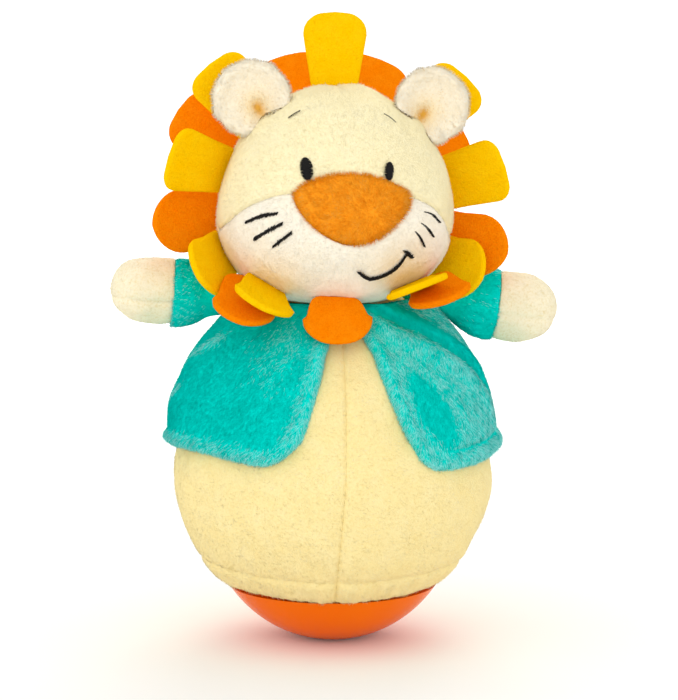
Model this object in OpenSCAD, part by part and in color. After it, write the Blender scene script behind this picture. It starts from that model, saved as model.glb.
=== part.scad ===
// Roly poly toy: a stuffed lion sewn round a weighted plastic ball that rights itself.
// Millimetres. +Z is up, -Y is the front, the origin is the middle of the flat foot.

/* [Rocker ball] */
// Outer radius of the ball
ball_r = 50; // [47:0.5:53]
// Radius of the flat foot
foot_r = 9; // [6:0.5:12]
// Wall of the two ball shells
ball_wall = 2.4; // [1.8:0.1:3]
// Height of the cloth's hem on the ball
hem_z = 22; // [20.5:0.5:24]
// Depth of the step that the hem sits in
hem_step = 2.6; // [2.4:0.1:3.2]
// Height of the joint between the two shells
ball_joint_z = 44; // [40:0.5:48]
// Height of the spigot that centres the cover
spigot_h = 4; // [3:0.5:6]

/* [Weight and screws] */
// Drop of the weight's flat top under the bowl's inner step
weight_drop = 0.6; // [0.4:0.1:2]
// Pitch radius of the three screws
screw_pitch_r = 15; // [13:0.5:17]
// Radius of a screw shank
screw_r = 1.5; // [1.2:0.1:2]
// Radius of a screw head
screw_head_r = 3; // [2.5:0.1:3.6]
// Height of a screw head
screw_head_h = 2; // [1.5:0.1:2.6]
// Length of thread held in a boss
screw_grip = 5; // [4:0.5:6]
// Wall of a screw boss
boss_wall = 2; // [1.5:0.1:2.6]

/* [Chime] */
// Radius of the chime plate
plate_r = 29; // [27:0.5:31]
// Thickness of the chime plate
plate_t = 4; // [3:0.5:5]
// Number of rods
rod_count = 8; // [5:1:10]
// Pitch radius of the rods
rod_pitch_r = 24; // [23:0.5:25]
// Radius of a rod
rod_r = 1.4; // [1:0.1:1.8]
// Height of the rods above the plate
rod_h = 30; // [24:1:34]
// Depth of a rod in the plate
rod_depth = 2.5; // [2:0.5:2.5]
// Radius of the clapper's bob
bob_r = 8; // [6:0.5:8.5]
// Height of the bob's middle
bob_z = 38; // [35:0.5:42]
// Radius of the hook, link and clapper eyes
eye_r = 3.2; // [2.8:0.1:4]
// Radius of their wire
wire_r = 0.8; // [0.6:0.05:0.9]

/* [Body] */
// Depth of the filling and cloth round the ball at the body's widest
body_pad = 14; // [12:0.5:17]
// Height of the largest radius
belly_z = 70; // [67:0.5:74]
// Height of the neck seam
neck_z = 138.5; // [136:0.5:142]
// Radius of the body at the neck seam
neck_r = 26; // [24:0.5:29]
// Thickness of the plush cloth
plush_t = 2; // [1.6:0.1:2.2]
// Thickness of the filling layer
wadding_t = 2; // [1.5:0.1:3]
// Radius of the elastic cord
cord_r = 1.2; // [0.9:0.1:1.5]
// Height of the elastic above the hem
cord_rise = 9; // [8:0.5:11]

/* [Jacket] */
// Height of the jacket's hem
jacket_hem_z = 79; // [76:0.5:84]
// Thickness of the jacket's plush
jacket_t = 3.6; // [3:0.1:4.4]
// Depth of the jacket's folds at the hem
fold_d = 2.4; // [0:0.1:3.5]
// Distance from the neck seam to the jacket's top
jacket_drop = 5; // [4:0.5:7]
// Radius of the rounded corner of the left front
left_corner = 13; // [8:0.5:16]
// Radius of the rounded corner of the right front
right_corner = 7; // [5:0.5:12]
// Drop of the right front's hem towards its corner
right_dip = 3.5; // [0:0.5:5]

/* [Arms] */
// Share of the body's radius at which a shoulder sits
shoulder_share = 0.64; // [0.62:0.01:0.68]
// Distance of the shoulders behind the middle
shoulder_back = 9; // [7:0.5:11]
// Height of a shoulder under the neck seam
shoulder_drop = 0.5; // [0:0.1:1.5]
// Radius of the stuffed root that turns in the armhole
root_r = 8.6; // [8:0.1:9]
// Radius of an arm at the cuff
cuff_r = 13.4; // [12:0.1:14]
// Length of the left sleeve from the shoulder
sleeve_len_left = 22; // [20:0.5:26]
// Length of the right sleeve from the shoulder
sleeve_len_right = 26; // [22:0.5:28]
// Length of a hand
hand_len = 25; // [21:0.5:28]

/* [Head] */
// Half width of the head
head_w = 47; // [45:0.5:49]
// Depth of the head in front of its middle
head_front = 44; // [42:0.5:46]
// Depth of the head behind its middle
head_back = 38; // [36:0.5:41]
// Height of the head above its widest level
head_top = 53.5; // [50:0.5:56]
// Height of the head below its widest level
head_low = 35; // [33.5:0.5:36.5]
// Height of the underside flattened on the neck
neck_sink = 4.5; // [4:0.1:5.5]
// Distance of the head's middle before the body's
head_ahead = 10; // [8:0.5:12]
// Radius of an ear
ear_r = 15.5; // [13:0.5:16.5]
// Thickness of an ear
ear_t = 5; // [4:0.5:6]
// Depth of the hollow in an ear
ear_hollow = 4; // [3:0.5:5]

/* [Face] */
// Half width of the nose
nose_w = 24.5; // [22:0.5:26]
// Height of the nose above its middle
nose_top = 9.2; // [8:0.2:9.6]
// Height of the nose below its middle
nose_low = 19; // [17:0.5:20]
// Radius of the nose's bulging sides
nose_side_r = 37; // [30:0.5:50]
// Height of the nose's middle above the head's widest level
nose_z = 12; // [10.5:0.5:12.5]
// Distance of the nose's middle from the head's, as sewn
nose_x = 2.2; // [0:0.2:2.4]
// Bulge of the nose
nose_puff = 3; // [2:0.1:4]
// Distance of an eye from the middle
eye_x = 15.8; // [14:0.2:18]
// Height of the eyes above the head's widest level
eye_z = 22.8; // [22.6:0.2:25]
// Half width of an eye
eye_w = 2.4; // [1.8:0.1:3]
// Half height of an eye
eye_h = 3.6; // [3:0.1:3.7]
// Thickness of the embroidery
thread_t = 0.9; // [0.6:0.1:1.2]
// Width of a stitched line
stitch_w = 1.3; // [1:0.1:1.6]

/* [Mane] */
// Length of a petal
petal_len = 27; // [24:0.5:29]
// Width of a petal at its root
petal_root_w = 18; // [16:0.5:20]
// Width of a petal near its tip
petal_tip_w = 25; // [22:0.5:26]
// Corner radius of a petal's tip
petal_corner_r = 10; // [6:0.5:10.5]
// Thickness of the felt
felt_t = 2.6; // [2:0.1:3]

/* [Fits] */
// Clearance between sewn or loose neighbours
cloth_gap = 0.3; // [0.2:0.05:0.4]
// Clearance of the arm roots and of the ball shells
turn_gap = 0.5; // [0.4:0.05:0.6]
// Clearance of rods and screws in their holes
fit_gap = 0.03; // [0.02:0.01:0.05]

/* [Hidden] */
$fn = 64;
soft_fn = 22;
ball_z = sqrt(ball_r * ball_r - foot_r * foot_r);
inner_r = ball_r - hem_step;
hem_r = sqrt(ball_r * ball_r - pow(ball_z - hem_z, 2));
reach = 2 * ball_r;
body_r = ball_r + body_pad;
shoulder_x = body_r * shoulder_share;
weight_top_z = hem_z - ball_wall - weight_drop;
plate_top_z = weight_top_z + cloth_gap + plate_t;
boss_r = screw_r + boss_wall;
boss_top_z = weight_top_z / 2;
ball_top_z = ball_z + inner_r - ball_wall;
hook_boss_h = 2 * eye_r;
eye_mid_z = ball_top_z - hook_boss_h - eye_r - wire_r;
hang = 2 * wire_r + cloth_gap;
link_axis_z = eye_mid_z - eye_r;
link_mid_z = link_axis_z + hang - eye_r;
clapper_axis_z = link_mid_z - eye_r;
clapper_eye_z = clapper_axis_z + hang - eye_r;
upper_power = 1.6;
neck_share = pow(1 - pow(neck_r / body_r, upper_power), 1 / upper_power);
upper_h = (neck_z - belly_z) / neck_share;
lower_share = sqrt(1 - pow(hem_r / body_r, 2));
lower_h = (belly_z - hem_z) / lower_share;
body_steps = 20;
neck_top = neck_z + cloth_gap;
head_z = neck_top + head_low - neck_sink;
head_yaw = 1.5;
head_roll = 2.5;
jacket_top_z = neck_z - jacket_drop;
arm_z = neck_z - shoulder_drop;
side_deg = atan2(shoulder_x, -shoulder_back);
face_steps = 18;
ring_steps = 7;
front_rows = 9;
front_cols = 12;

yellow = [0.97, 0.78, 0.18];
orange = [0.93, 0.48, 0.12];
cream = [0.95, 0.91, 0.80];
turquoise = [0.10, 0.62, 0.72];
black = [0.08, 0.08, 0.08];
white = [0.92, 0.92, 0.90];
steel = [0.70, 0.72, 0.74];

petal_count = 9;
// Petals: angle round the face, angle back from the front, angle it points, lean forward,
// length share, distance the root is drawn in to the head
yellow_leaves = [
    [92, 95, 92, 0, 1, 0],
    [49, 95, 49, -2, 0.95, 0],
    [18.8, 103.5, 21.4, 32.9, 0.99, 0],
    [-17.9, 104, -22.9, 51.1, 0.9, 0],
    [-39.9, 75.5, -67.4, 95.2, 0.97, 2.2],
    [-138.9, 64.8, -115, 75.6, 1, 0],
    [-161.8, 91.6, -144.4, 60.9, 0.96, 0],
    [157.8, 92.8, 166, 35.3, 1, 0],
    [131, 95, 131, -2, 1, 0]];
orange_leaves = [
    [73, 103, 73, -58, 0.9, 0],
    [35, 103, 35, -50, 0.9, 0],
    [-6.6, 105.2, -13.2, 27.9, 1, 0],
    [-28.7, 81, -71.1, 79.8, 1, 1.8],
    [-92.5, 43.2, -87, 33, 0.74, 0],
    [-147.9, 77.1, -100.5, 62.8, 0.97, 0],
    [-178.4, 104.6, -173.8, 21.4, 1, 0],
    [146.9, 105.7, 147.6, -9.6, 1, 0],
    [107, 103, 107, -58, 0.9, 0]];

// Shared helpers

function mix(a, b, t) = a + (b - a) * t;
function unit(v) = v / norm(v);
function flat(rows) = [for (row = rows) each row];

// Faces of a closed solid between two equal grids of points, without the triangles of no area
function grid_faces(pts, rows, cols) =
    let (half = rows * cols)
    let (at = function(i, j, side) side * half + i * cols + j)
    let (quads = concat(
        [for (i = [0:rows - 2], j = [0:cols - 2])
            [at(i, j, 0), at(i + 1, j, 0), at(i + 1, j + 1, 0), at(i, j + 1, 0)]],
        [for (i = [0:rows - 2], j = [0:cols - 2])
            [at(i, j, 1), at(i, j + 1, 1), at(i + 1, j + 1, 1), at(i + 1, j, 1)]],
        [for (j = [0:cols - 2]) [at(0, j, 1), at(0, j, 0), at(0, j + 1, 0), at(0, j + 1, 1)]],
        [for (j = [0:cols - 2])
            [at(rows - 1, j, 0), at(rows - 1, j, 1), at(rows - 1, j + 1, 1), at(rows - 1, j + 1, 0)]],
        [for (i = [0:rows - 2]) [at(i, 0, 0), at(i, 0, 1), at(i + 1, 0, 1), at(i + 1, 0, 0)]],
        [for (i = [0:rows - 2])
            [at(i, cols - 1, 1), at(i, cols - 1, 0), at(i + 1, cols - 1, 0), at(i + 1, cols - 1, 1)]]))
    [for (q = quads, tri = [[q[0], q[1], q[2]], [q[0], q[2], q[3]]])
        if (norm(cross(pts[tri[1]] - pts[tri[0]], pts[tri[2]] - pts[tri[0]])) > cloth_gap / 1000) tri];

// A slab of cloth between an outer and an inner grid
module slab(outer, inner) {
    pts = concat(flat(outer), flat(inner));
    polyhedron(pts, grid_faces(pts, len(outer), len(outer[0])));
}

// A slab that closes on itself round a middle: polar grids whose last column repeats the first
function round_faces(pts, rows, cols) =
    let (half = rows * cols)
    let (at = function(i, j, side) side * half + i * cols + j % cols)
    let (quads = concat(
        [for (i = [0:rows - 2], j = [0:cols - 1])
            [at(i, j, 0), at(i + 1, j, 0), at(i + 1, j + 1, 0), at(i, j + 1, 0)]],
        [for (i = [0:rows - 2], j = [0:cols - 1])
            [at(i, j, 1), at(i, j + 1, 1), at(i + 1, j + 1, 1), at(i + 1, j, 1)]],
        [for (j = [0:cols - 1])
            [at(rows - 1, j, 0), at(rows - 1, j, 1), at(rows - 1, j + 1, 1), at(rows - 1, j + 1, 0)]]))
    [for (q = quads, tri = [[q[0], q[1], q[2]], [q[0], q[2], q[3]]])
        if (norm(cross(pts[tri[1]] - pts[tri[0]], pts[tri[2]] - pts[tri[0]])) > cloth_gap / 1000) tri];

module round_slab(outer, inner) {
    pts = concat(flat(outer), flat(inner));
    polyhedron(pts, round_faces(pts, len(outer), len(outer[0])));
}

// A stuffed tube through rings of points, closed at both ends
module loft(rings) {
    n = len(rings[0]);
    pts = flat(rings);
    sides = [for (i = [0:len(rings) - 2], j = [0:n - 1])
        each [[i * n + j, (i + 1) * n + (j + 1) % n, i * n + (j + 1) % n],
              [i * n + j, (i + 1) * n + j, (i + 1) * n + (j + 1) % n]]];
    ends = [[for (j = [0:n - 1]) j], [for (j = [0:n - 1]) len(rings) * n - 1 - j]];
    polyhedron(pts, concat(sides, ends));
}

// Keeps a cut of soft forms faceted
module soft_cut() {
    resize([0, 0, 0]) difference() {
        children(0);
        children([1:$children - 1]);
    }
}

// Ball, weight and chime

// Half of a disc of the ball between two heights, as a profile
module ball_slice(r, low, high) {
    intersection() {
        translate([0, ball_z])
            circle(r);
        translate([0, low])
            square([reach, high - low]);
    }
}

module at_screws() {
    for (a = [90, 210, 330]) {
        rotate([0, 0, a])
            translate([screw_pitch_r, 0, 0])
                children();
    }
}

module rocker_bowl() {
    color(orange) {
        difference() {
            union() {
                rotate_extrude() {
                    difference() {
                        union() {
                            ball_slice(ball_r, 0, hem_z);
                            ball_slice(inner_r, hem_z - ball_wall, ball_joint_z);
                            ball_slice(inner_r - ball_wall / 2, ball_joint_z, ball_joint_z + spigot_h);
                        }
                        ball_slice(ball_r - ball_wall, 0, hem_z - ball_wall);
                        ball_slice(inner_r - ball_wall, 0, ball_joint_z + 2 * spigot_h);
                    }
                }
                at_screws() {
                    intersection() {
                        cylinder(r = boss_r, h = boss_top_z);
                        translate([-screw_pitch_r, 0, ball_z])
                            sphere(ball_r - ball_wall / 2);
                    }
                }
            }
            at_screws() {
                translate([0, 0, boss_top_z - screw_grip])
                    cylinder(r = screw_r + fit_gap, h = screw_grip + ball_wall);
            }
        }
    }
}

module ball_cover() {
    color(white) {
        difference() {
            union() {
                rotate_extrude() {
                    difference() {
                        ball_slice(inner_r, ball_joint_z + cloth_gap, reach);
                        ball_slice(inner_r - ball_wall, 0, reach);
                        ball_slice(
                            inner_r - ball_wall / 2 + fit_gap, 0, ball_joint_z + spigot_h + cloth_gap);
                    }
                }
                intersection() {
                    translate([0, 0, ball_top_z - hook_boss_h])
                        cylinder(r = 2 * eye_r, h = hook_boss_h + ball_wall);
                    translate([0, 0, ball_z])
                        sphere(inner_r - ball_wall / 2);
                }
            }
            translate([0, 0, ball_top_z - hook_boss_h - ball_wall])
                cylinder(r = wire_r + fit_gap, h = hook_boss_h + ball_wall);
        }
    }
}

module counterweight() {
    color([0.25, 0.25, 0.27]) {
        difference() {
            rotate_extrude() {
                ball_slice(ball_r - ball_wall - cloth_gap, 0, weight_top_z);
            }
            at_screws() {
                cylinder(r = screw_r + turn_gap, h = 2 * weight_top_z);
                cylinder(r = boss_r + turn_gap, h = boss_top_z + turn_gap);
            }
        }
    }
}

module chime_plate() {
    color(white) {
        difference() {
            translate([0, 0, weight_top_z + cloth_gap])
                cylinder(r = plate_r, h = plate_t);
            at_screws() {
                cylinder(r = screw_r + turn_gap, h = reach);
            }
            at_rods() {
                cylinder(r = rod_r + fit_gap, h = reach);
            }
        }
    }
}

module at_rods() {
    for (i = [0:rod_count - 1]) {
        rotate([0, 0, (i + 0.5) * 360 / rod_count])
            translate([rod_pitch_r, 0, plate_top_z - rod_depth])
                children();
    }
}

module weight_screws() {
    color(steel) {
        at_screws() {
            difference() {
                union() {
                    translate([0, 0, boss_top_z - screw_grip + fit_gap])
                        cylinder(r = screw_r, h = plate_top_z + screw_grip - boss_top_z);
                    translate([0, 0, plate_top_z + fit_gap])
                        cylinder(r = screw_head_r, h = screw_head_h);
                }
                for (a = [0, 90]) {
                    translate([0, 0, plate_top_z + screw_head_h])
                        rotate([0, 0, a])
                            cube([screw_r * 2, screw_r / 2, screw_head_h], center = true);
                }
            }
        }
    }
}

module chime_rods() {
    color(steel) {
        at_rods() {
            translate([0, 0, fit_gap])
                cylinder(r = rod_r, h = rod_h + rod_depth);
        }
    }
}

module wire_eye() {
    rotate([90, 0, 0])
        rotate_extrude()
            translate([eye_r, 0])
                circle(wire_r);
}

module clapper_hook() {
    color(steel) {
        translate([0, 0, eye_mid_z])
            wire_eye();
        translate([0, 0, eye_mid_z + eye_r])
            cylinder(r = wire_r, h = hook_boss_h + wire_r - ball_wall);
    }
}

module clapper_link() {
    color(steel) {
        translate([0, 0, link_mid_z])
            rotate([0, 0, 90])
                wire_eye();
    }
}

module clapper() {
    color(steel) {
        translate([0, 0, clapper_eye_z])
            wire_eye();
        translate([0, 0, bob_z])
            cylinder(r = wire_r, h = clapper_eye_z - eye_r - bob_z);
        translate([0, 0, bob_z])
            sphere(bob_r);
    }
}

// Body of revolution: radius and slope at a height, and a layer some way out from the cloth's face

function body_at(z) = z < belly_z
    ? body_r * sqrt(1 - pow((belly_z - z) / lower_h, 2))
    : body_r * pow(1 - pow((z - belly_z) / upper_h, upper_power), 1 / upper_power);
function slope_at(z) = (body_at(z + cloth_gap) - body_at(z - cloth_gap)) / (2 * cloth_gap);
function layer(z, out) = body_at(z) + out * sqrt(1 + pow(slope_at(z), 2));
function body_rise(low, high) = [for (i = [0:body_steps]) mix(low, high, i / body_steps)];

// Half profile of a cloth layer that lies so far out and is so thick, from a height to the neck
module layer_profile(low, high, out, thick) {
    up = body_rise(low, high);
    down = body_rise(high - thick, low);
    polygon(concat(
        [for (z = up) [layer(z, out), z]],
        [[0, high], [0, high - thick]],
        [for (z = down) [layer(z, out - thick), z]]));
}

module hem_elastic() {
    cord_z = hem_z + cord_rise;
    ring = sqrt(inner_r * inner_r - pow(ball_z - cord_z, 2)) + cord_r + cloth_gap;
    color(white) {
        translate([0, 0, cord_z])
            rotate_extrude()
                translate([ring, 0])
                    circle(cord_r);
    }
}

module body_panel(from) {
    color(cream) {
        rotate_extrude(angle = 180, start = from) {
            layer_profile(hem_z + cloth_gap, neck_z, 0, plush_t);
        }
    }
}

module body_panel_left() {
    body_panel(90);
}

module body_panel_right() {
    body_panel(270);
}

module body_wadding() {
    inset = plush_t + cloth_gap;
    color(white) {
        rotate_extrude() {
            layer_profile(hem_z + 2 * cord_rise, neck_z - inset, -inset, wadding_t);
        }
    }
}

// Jacket: front edges open from the neck to the hem, a rounded corner, and folds that deepen downwards

function jacket_fall(z) = (jacket_top_z - z) / (jacket_top_z - jacket_hem_z);
function left_edge(fall) = mix(-6, -17, fall);
function right_edge(fall) = mix(8, 31, fall);
function fold(deg, fall) = fold_d * fall * (1 + sin(deg * 9)) / 2;

function jacket_pt(deg, z, out) =
    let (r = layer(z, out + cloth_gap + fold(deg, jacket_fall(z))))
    [r * sin(deg), -r * cos(deg), z];

// Height of the hem so far from a front edge: a rounded corner, and a dip that fades to the side
function corner_z(away, share, corner, dip) =
    let (in = max(0, 1 - away / corner))
    jacket_hem_z - dip * (1 - share) + corner * (1 - sqrt(1 - in * in));

function front_grid(edge_top, edge_hem, side, corner, dip, out) =
    [for (i = [0:front_rows]) [for (j = [0:front_cols])
        let (share = pow(j / front_cols, 1.7))
        let (away = abs(side - edge_hem) * share * body_r * PI / 180)
        let (z = mix(jacket_top_z, corner_z(away, share, corner, dip), i / front_rows))
        let (deg = mix(mix(edge_top, edge_hem, jacket_fall(z)), side, share))
        jacket_pt(deg, z, out)]];

module armholes() {
    for (side = [-1, 1]) {
        translate([side * shoulder_x, shoulder_back, arm_z])
            sphere(root_r + turn_gap, $fn = soft_fn);
    }
}

module jacket_left_front() {
    side = 1 - side_deg;
    color(turquoise) {
        soft_cut() {
            slab(
                front_grid(left_edge(0), left_edge(1), side, left_corner, 0, jacket_t),
                front_grid(left_edge(0), left_edge(1), side, left_corner, 0, 0));
            armholes();
        }
    }
}

module jacket_right_front() {
    side = side_deg - 1;
    color(turquoise) {
        soft_cut() {
            slab(
                front_grid(right_edge(0), right_edge(1), side, right_corner, right_dip, 0),
                front_grid(right_edge(0), right_edge(1), side, right_corner, right_dip, jacket_t));
            armholes();
        }
    }
}

function back_grid(out) =
    [for (i = [0:front_rows]) [for (j = [0:face_steps])
        let (deg = mix(side_deg, 360 - side_deg, j / face_steps))
        let (z = mix(jacket_top_z, jacket_hem_z, i / front_rows))
        jacket_pt(deg, z, out)]];

module jacket_back() {
    color(turquoise) {
        soft_cut() {
            slab(back_grid(0), back_grid(jacket_t));
            armholes();
        }
    }
}

// Arms: rings along +X from the shoulder, then swung into place

arm_droop = [-4, 9];
arm_squash = 0.9;

function arm_ring(x, r) = [for (j = [0:soft_fn - 1])
    let (a = j * 360 / soft_fn)
    [x, r * arm_squash * cos(a), r * sin(a)]];

function sleeve_r(x, len) = x < 0
    ? sqrt(root_r * root_r - x * x)
    : mix(root_r, cuff_r, sin(90 * min(1, x / len)));

function hand_r(share) = (cuff_r - cloth_gap) * sqrt(1 - pow(max(0, share - 0.35) / 0.67, 2.2));

module arm_place(side) {
    i = side < 0 ? 0 : 1;
    translate([side * shoulder_x, shoulder_back, arm_z])
        rotate([0, side * arm_droop[i], 0])
            mirror([side < 0 ? 1 : 0, 0, 0])
                children();
}

module sleeve(len) {
    steps = 9;
    x0 = -root_r * 0.97;
    color(turquoise) {
        loft([for (i = [0:steps])
            let (x = mix(x0, len, i / steps))
            arm_ring(x, sleeve_r(x, len))]);
    }
}

module hand(len) {
    steps = 8;
    color(cream) {
        loft([for (i = [0:steps])
            let (share = sin(90 * i / steps))
            arm_ring(len + cloth_gap + hand_len * share, hand_r(share))]);
    }
}

module sleeve_left() {
    arm_place(-1)
        sleeve(sleeve_len_left);
}

module sleeve_right() {
    arm_place(1)
        sleeve(sleeve_len_right);
}

module hand_left() {
    arm_place(-1)
        hand(sleeve_len_left);
}

module hand_right() {
    arm_place(1)
        hand(sleeve_len_right);
}

// Head: an egg about its widest level. w is the angle from the front, t the angle round the face

head_c = [0, -head_ahead, head_z];

function face_dir(w, t) = [sin(w) * cos(t), -cos(w), sin(w) * sin(t)];
function depth_at(y) = y < 0 ? head_front : head_back;
function height_at(z) = z > 0 ? head_top : head_low;
function head_reach(d) = 1 / norm([d.x / head_w, d.y / depth_at(d.y), d.z / height_at(d.z)]);
function head_normal(p) =
    unit([p.x / pow(head_w, 2), p.y / pow(depth_at(p.y), 2), p.z / pow(height_at(p.z), 2)]);

// Turns a point of the head's own frame to its place: roll, then yaw
function head_turn(p) =
    let (x = p.x * cos(head_roll) + p.z * sin(head_roll))
    let (z = p.z * cos(head_roll) - p.x * sin(head_roll))
    [x * cos(head_yaw) - p.y * sin(head_yaw), x * sin(head_yaw) + p.y * cos(head_yaw), z];
function head_put(p) = head_c + head_turn(p);

// Point some way out from the head's face; the underside is flattened on the neck
function head_pt(w, t, out) =
    let (d = face_dir(w, t))
    let (p = head_put(d * (head_reach(d) + out)))
    [p.x, p.y, max(p.z, neck_top - out)];

// Point of the front at a width and height in the head's frame, some way out from the face
function front_pt(x, z, out) =
    let (y = -head_front * sqrt(1 - pow(x / head_w, 2) - pow(z / height_at(z), 2)))
    let (p = [x, y, z])
    head_put(p + head_normal(p) * out);

// Outline of the nose about its middle: an arched top and two bulging sides that meet below, softened
nose_corner_share = 0.13;
nose_corner_z = nose_top * nose_corner_share;
nose_arch = (nose_w * nose_w + pow(nose_top - nose_corner_z, 2)) / (2 * (nose_top - nose_corner_z));
function nose_arch_reach(a) =
    let (low = nose_arch - nose_top)
    sqrt(nose_arch * nose_arch - pow(low * cos(a), 2)) - low * sin(a);
nose_side_v = [nose_low + nose_corner_z, -nose_w];
nose_side_c = [nose_w, nose_corner_z - nose_low] / 2
    - unit(nose_side_v) * sqrt(pow(nose_side_r, 2) - nose_side_v * nose_side_v / 4);
function nose_side_reach(a, side) =
    let (along = cos(a) * side * nose_side_c.x + sin(a) * nose_side_c.y)
    along + sqrt(pow(nose_side_r, 2) - nose_side_c * nose_side_c + along * along);
function nose_reach(a) =
    let (edges = [nose_arch_reach(a), nose_side_reach(a, 1), nose_side_reach(a, -1)])
    pow(pow(edges[0], -8) + pow(edges[1], -8) + pow(edges[2], -8), -1 / 8);

// Place [w, t] on the head of the nose's edge at an angle about the nose's middle
function nose_edge(a) =
    let (r = nose_reach(a) + 2.5 * cloth_gap)
    let (x = nose_x + r * cos(a), z = nose_z + r * sin(a))
    let (y = head_front * sqrt(1 - pow(x / head_w, 2) - pow(z / height_at(z), 2)))
    [atan2(norm([x, z]), y), atan2(z, x)];

// Seam between face and muzzle, right then left: from the nose's corner down to the side seam
nose_corner_a = atan2(nose_corner_z, nose_w);
nose_corners = [nose_edge(nose_corner_a).y, 180 - nose_edge(180 - nose_corner_a).y];
seam_side = -6;
seam_power = 1.8;
function seam_ends(share) =
    [for (corner = nose_corners) mix(corner, seam_side, 1 - pow(1 - share, seam_power))];

// Ends of a panel at a share of its width: along the seams, a hair's width apart
seam_gap_deg = 0.25;
function across_panel(low_side, ends, s) = low_side
    ? mix(180 - ends[1] + seam_gap_deg, 360 + ends[0] - seam_gap_deg, s)
    : mix(ends[0] + seam_gap_deg, 180 - ends[1] - seam_gap_deg, s);

function panel_grid(low_side, out) =
    [for (i = [0:ring_steps]) [for (j = [0:face_steps])
        let (s = j / face_steps)
        let (share = i / ring_steps)
        let (edge = nose_edge(across_panel(low_side, [nose_corner_a, nose_corner_a], s)))
        let (edge_t = low_side && edge.y < 90 ? edge.y + 360 : edge.y)
        let (bend = edge_t - across_panel(low_side, seam_ends(0), s))
        let (t = across_panel(low_side, seam_ends(share), s) + bend * max(0, 1 - 2 * share))
        head_pt(mix(edge.x, 90, share), t, out)]];

module face_panel() {
    color([0.97, 0.88, 0.58]) {
        slab(panel_grid(false, -plush_t), panel_grid(false, 0));
    }
}

module muzzle_panel() {
    color([0.95, 0.93, 0.88]) {
        slab(panel_grid(true, -plush_t), panel_grid(true, 0));
    }
}

function back_dome(out) =
    [for (i = [0:ring_steps]) [for (j = [0:2 * face_steps - 1])
        head_pt(180 - (90 - 0.4) * i / ring_steps, j * 180 / face_steps, out)]];

module head_back_panel() {
    color([0.97, 0.88, 0.58]) {
        round_slab(back_dome(0), back_dome(-plush_t));
    }
}

wadding_rings = 10;
wadding_open = 14;

function wadding_grid(out) =
    [for (i = [0:wadding_rings]) [for (j = [0:face_steps - 1])
        head_pt(mix(180, wadding_open, i / wadding_rings), j * 360 / face_steps, out)]];

module head_wadding() {
    inset = plush_t + 2 * cloth_gap;
    color(white) {
        round_slab(wadding_grid(-inset), wadding_grid(-inset - wadding_t));
    }
}

// A sewn patch on the front: polar grid about a middle with a given reach at each angle
function patch_grid(x, z, reach_at, out, puff, steps) =
    [for (i = [0:4]) [for (j = [0:steps - 1])
        let (a = j * 360 / steps)
        let (share = i / 4)
        let (r = reach_at(a) * share)
        front_pt(x + r * cos(a), z + r * sin(a), out + puff * (1 - share * share))]];

module nose() {
    at = function(a) nose_reach(a);
    color(orange) {
        round_slab(
            patch_grid(nose_x, nose_z, at, -plush_t, 0, 28),
            patch_grid(nose_x, nose_z, at, 0, nose_puff, 28));
    }
}

function oval(a, w, h) = 1 / norm([cos(a) / w, sin(a) / h]);

module eye(x) {
    at = function(a) oval(a, eye_w, eye_h);
    color(black) {
        round_slab(
            patch_grid(x, eye_z, at, cloth_gap, 0, 14),
            patch_grid(x, eye_z, at, cloth_gap + thread_t / 2, thread_t / 2, 14));
    }
}

module eye_left() {
    eye(-eye_x);
}

module eye_right() {
    eye(eye_x);
}

// A stitched line through points given as shares of the head's width and height, moved sideways
module stitch(shares, shift = 0) {
    pts = [for (s = shares) [s.x * head_w + shift, s.y * head_top]];
    last = len(pts) - 1;
    side = [for (i = [0:last])
        let (d = unit(pts[min(i + 1, last)] - pts[max(i - 1, 0)]))
        [-d.y, d.x] * stitch_w / 2];
    grid = function(out)
        [for (i = [0:last]) [for (k = [-1, 1])
            front_pt(pts[i].x + k * side[i].x, pts[i].y + k * side[i].y, out)]];
    color(black) {
        slab(grid(cloth_gap), grid(cloth_gap + thread_t));
    }
}

brow_shares = [[0.34, 0.81], [0.39, 0.785], [0.435, 0.755]];
whisker_shares = [
    [[0.60, 0.113], [0.70, 0.088], [0.79, 0.031]],
    [[0.567, 0.04], [0.651, -0.011], [0.731, -0.075]],
    [[0.506, -0.02], [0.569, -0.073], [0.619, -0.13]]];
mouth_shares = [
    [0.07, -0.297], [0.137, -0.339], [0.2, -0.348], [0.316, -0.311], [0.4, -0.25], [0.454, -0.176]];

function flip(shares) = [for (s = shares) [-s.x, s.y]];

module eyebrows() {
    stitch(brow_shares);
    stitch(flip(brow_shares));
}

module whiskers() {
    for (shares = whisker_shares) {
        stitch(shares, nose_x);
        stitch(flip(shares), nose_x);
    }
}

module mouth() {
    stitch(mouth_shares, nose_x);
}

// Ears: cupped discs on the upper sides of the head, cut to its face

ear_deg = 37;
ear_out_share = 0.55;
ear_ahead_share = 0.17;

function ear_grid(front) =
    [for (i = [0:5]) [for (j = [0:soft_fn - 1])
        let (share = i / 5)
        let (a = j * 360 / soft_fn)
        let (rim = sqrt(1 - pow(share, 6)))
        let (dish = ear_hollow * (1 - share * share))
        let (y = dish + (front ? -ear_t / 2 * rim : ear_t / 2 * rim))
        [ear_r * share * cos(a), y, ear_r * share * sin(a)]]];

module head_place() {
    translate(head_c)
        rotate([0, 0, head_yaw])
            rotate([0, head_roll, 0])
                children();
}

module head_blank(out) {
    grid = [for (i = [0:2 * ring_steps]) [for (j = [0:2 * face_steps - 1])
        let (d = face_dir(180 * i / (2 * ring_steps), j * 180 / face_steps))
        d * (head_reach(d) + out)]];
    inside = [for (ring = grid) [for (p = ring) p / 2]];
    round_slab(inside, grid);
}

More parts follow.
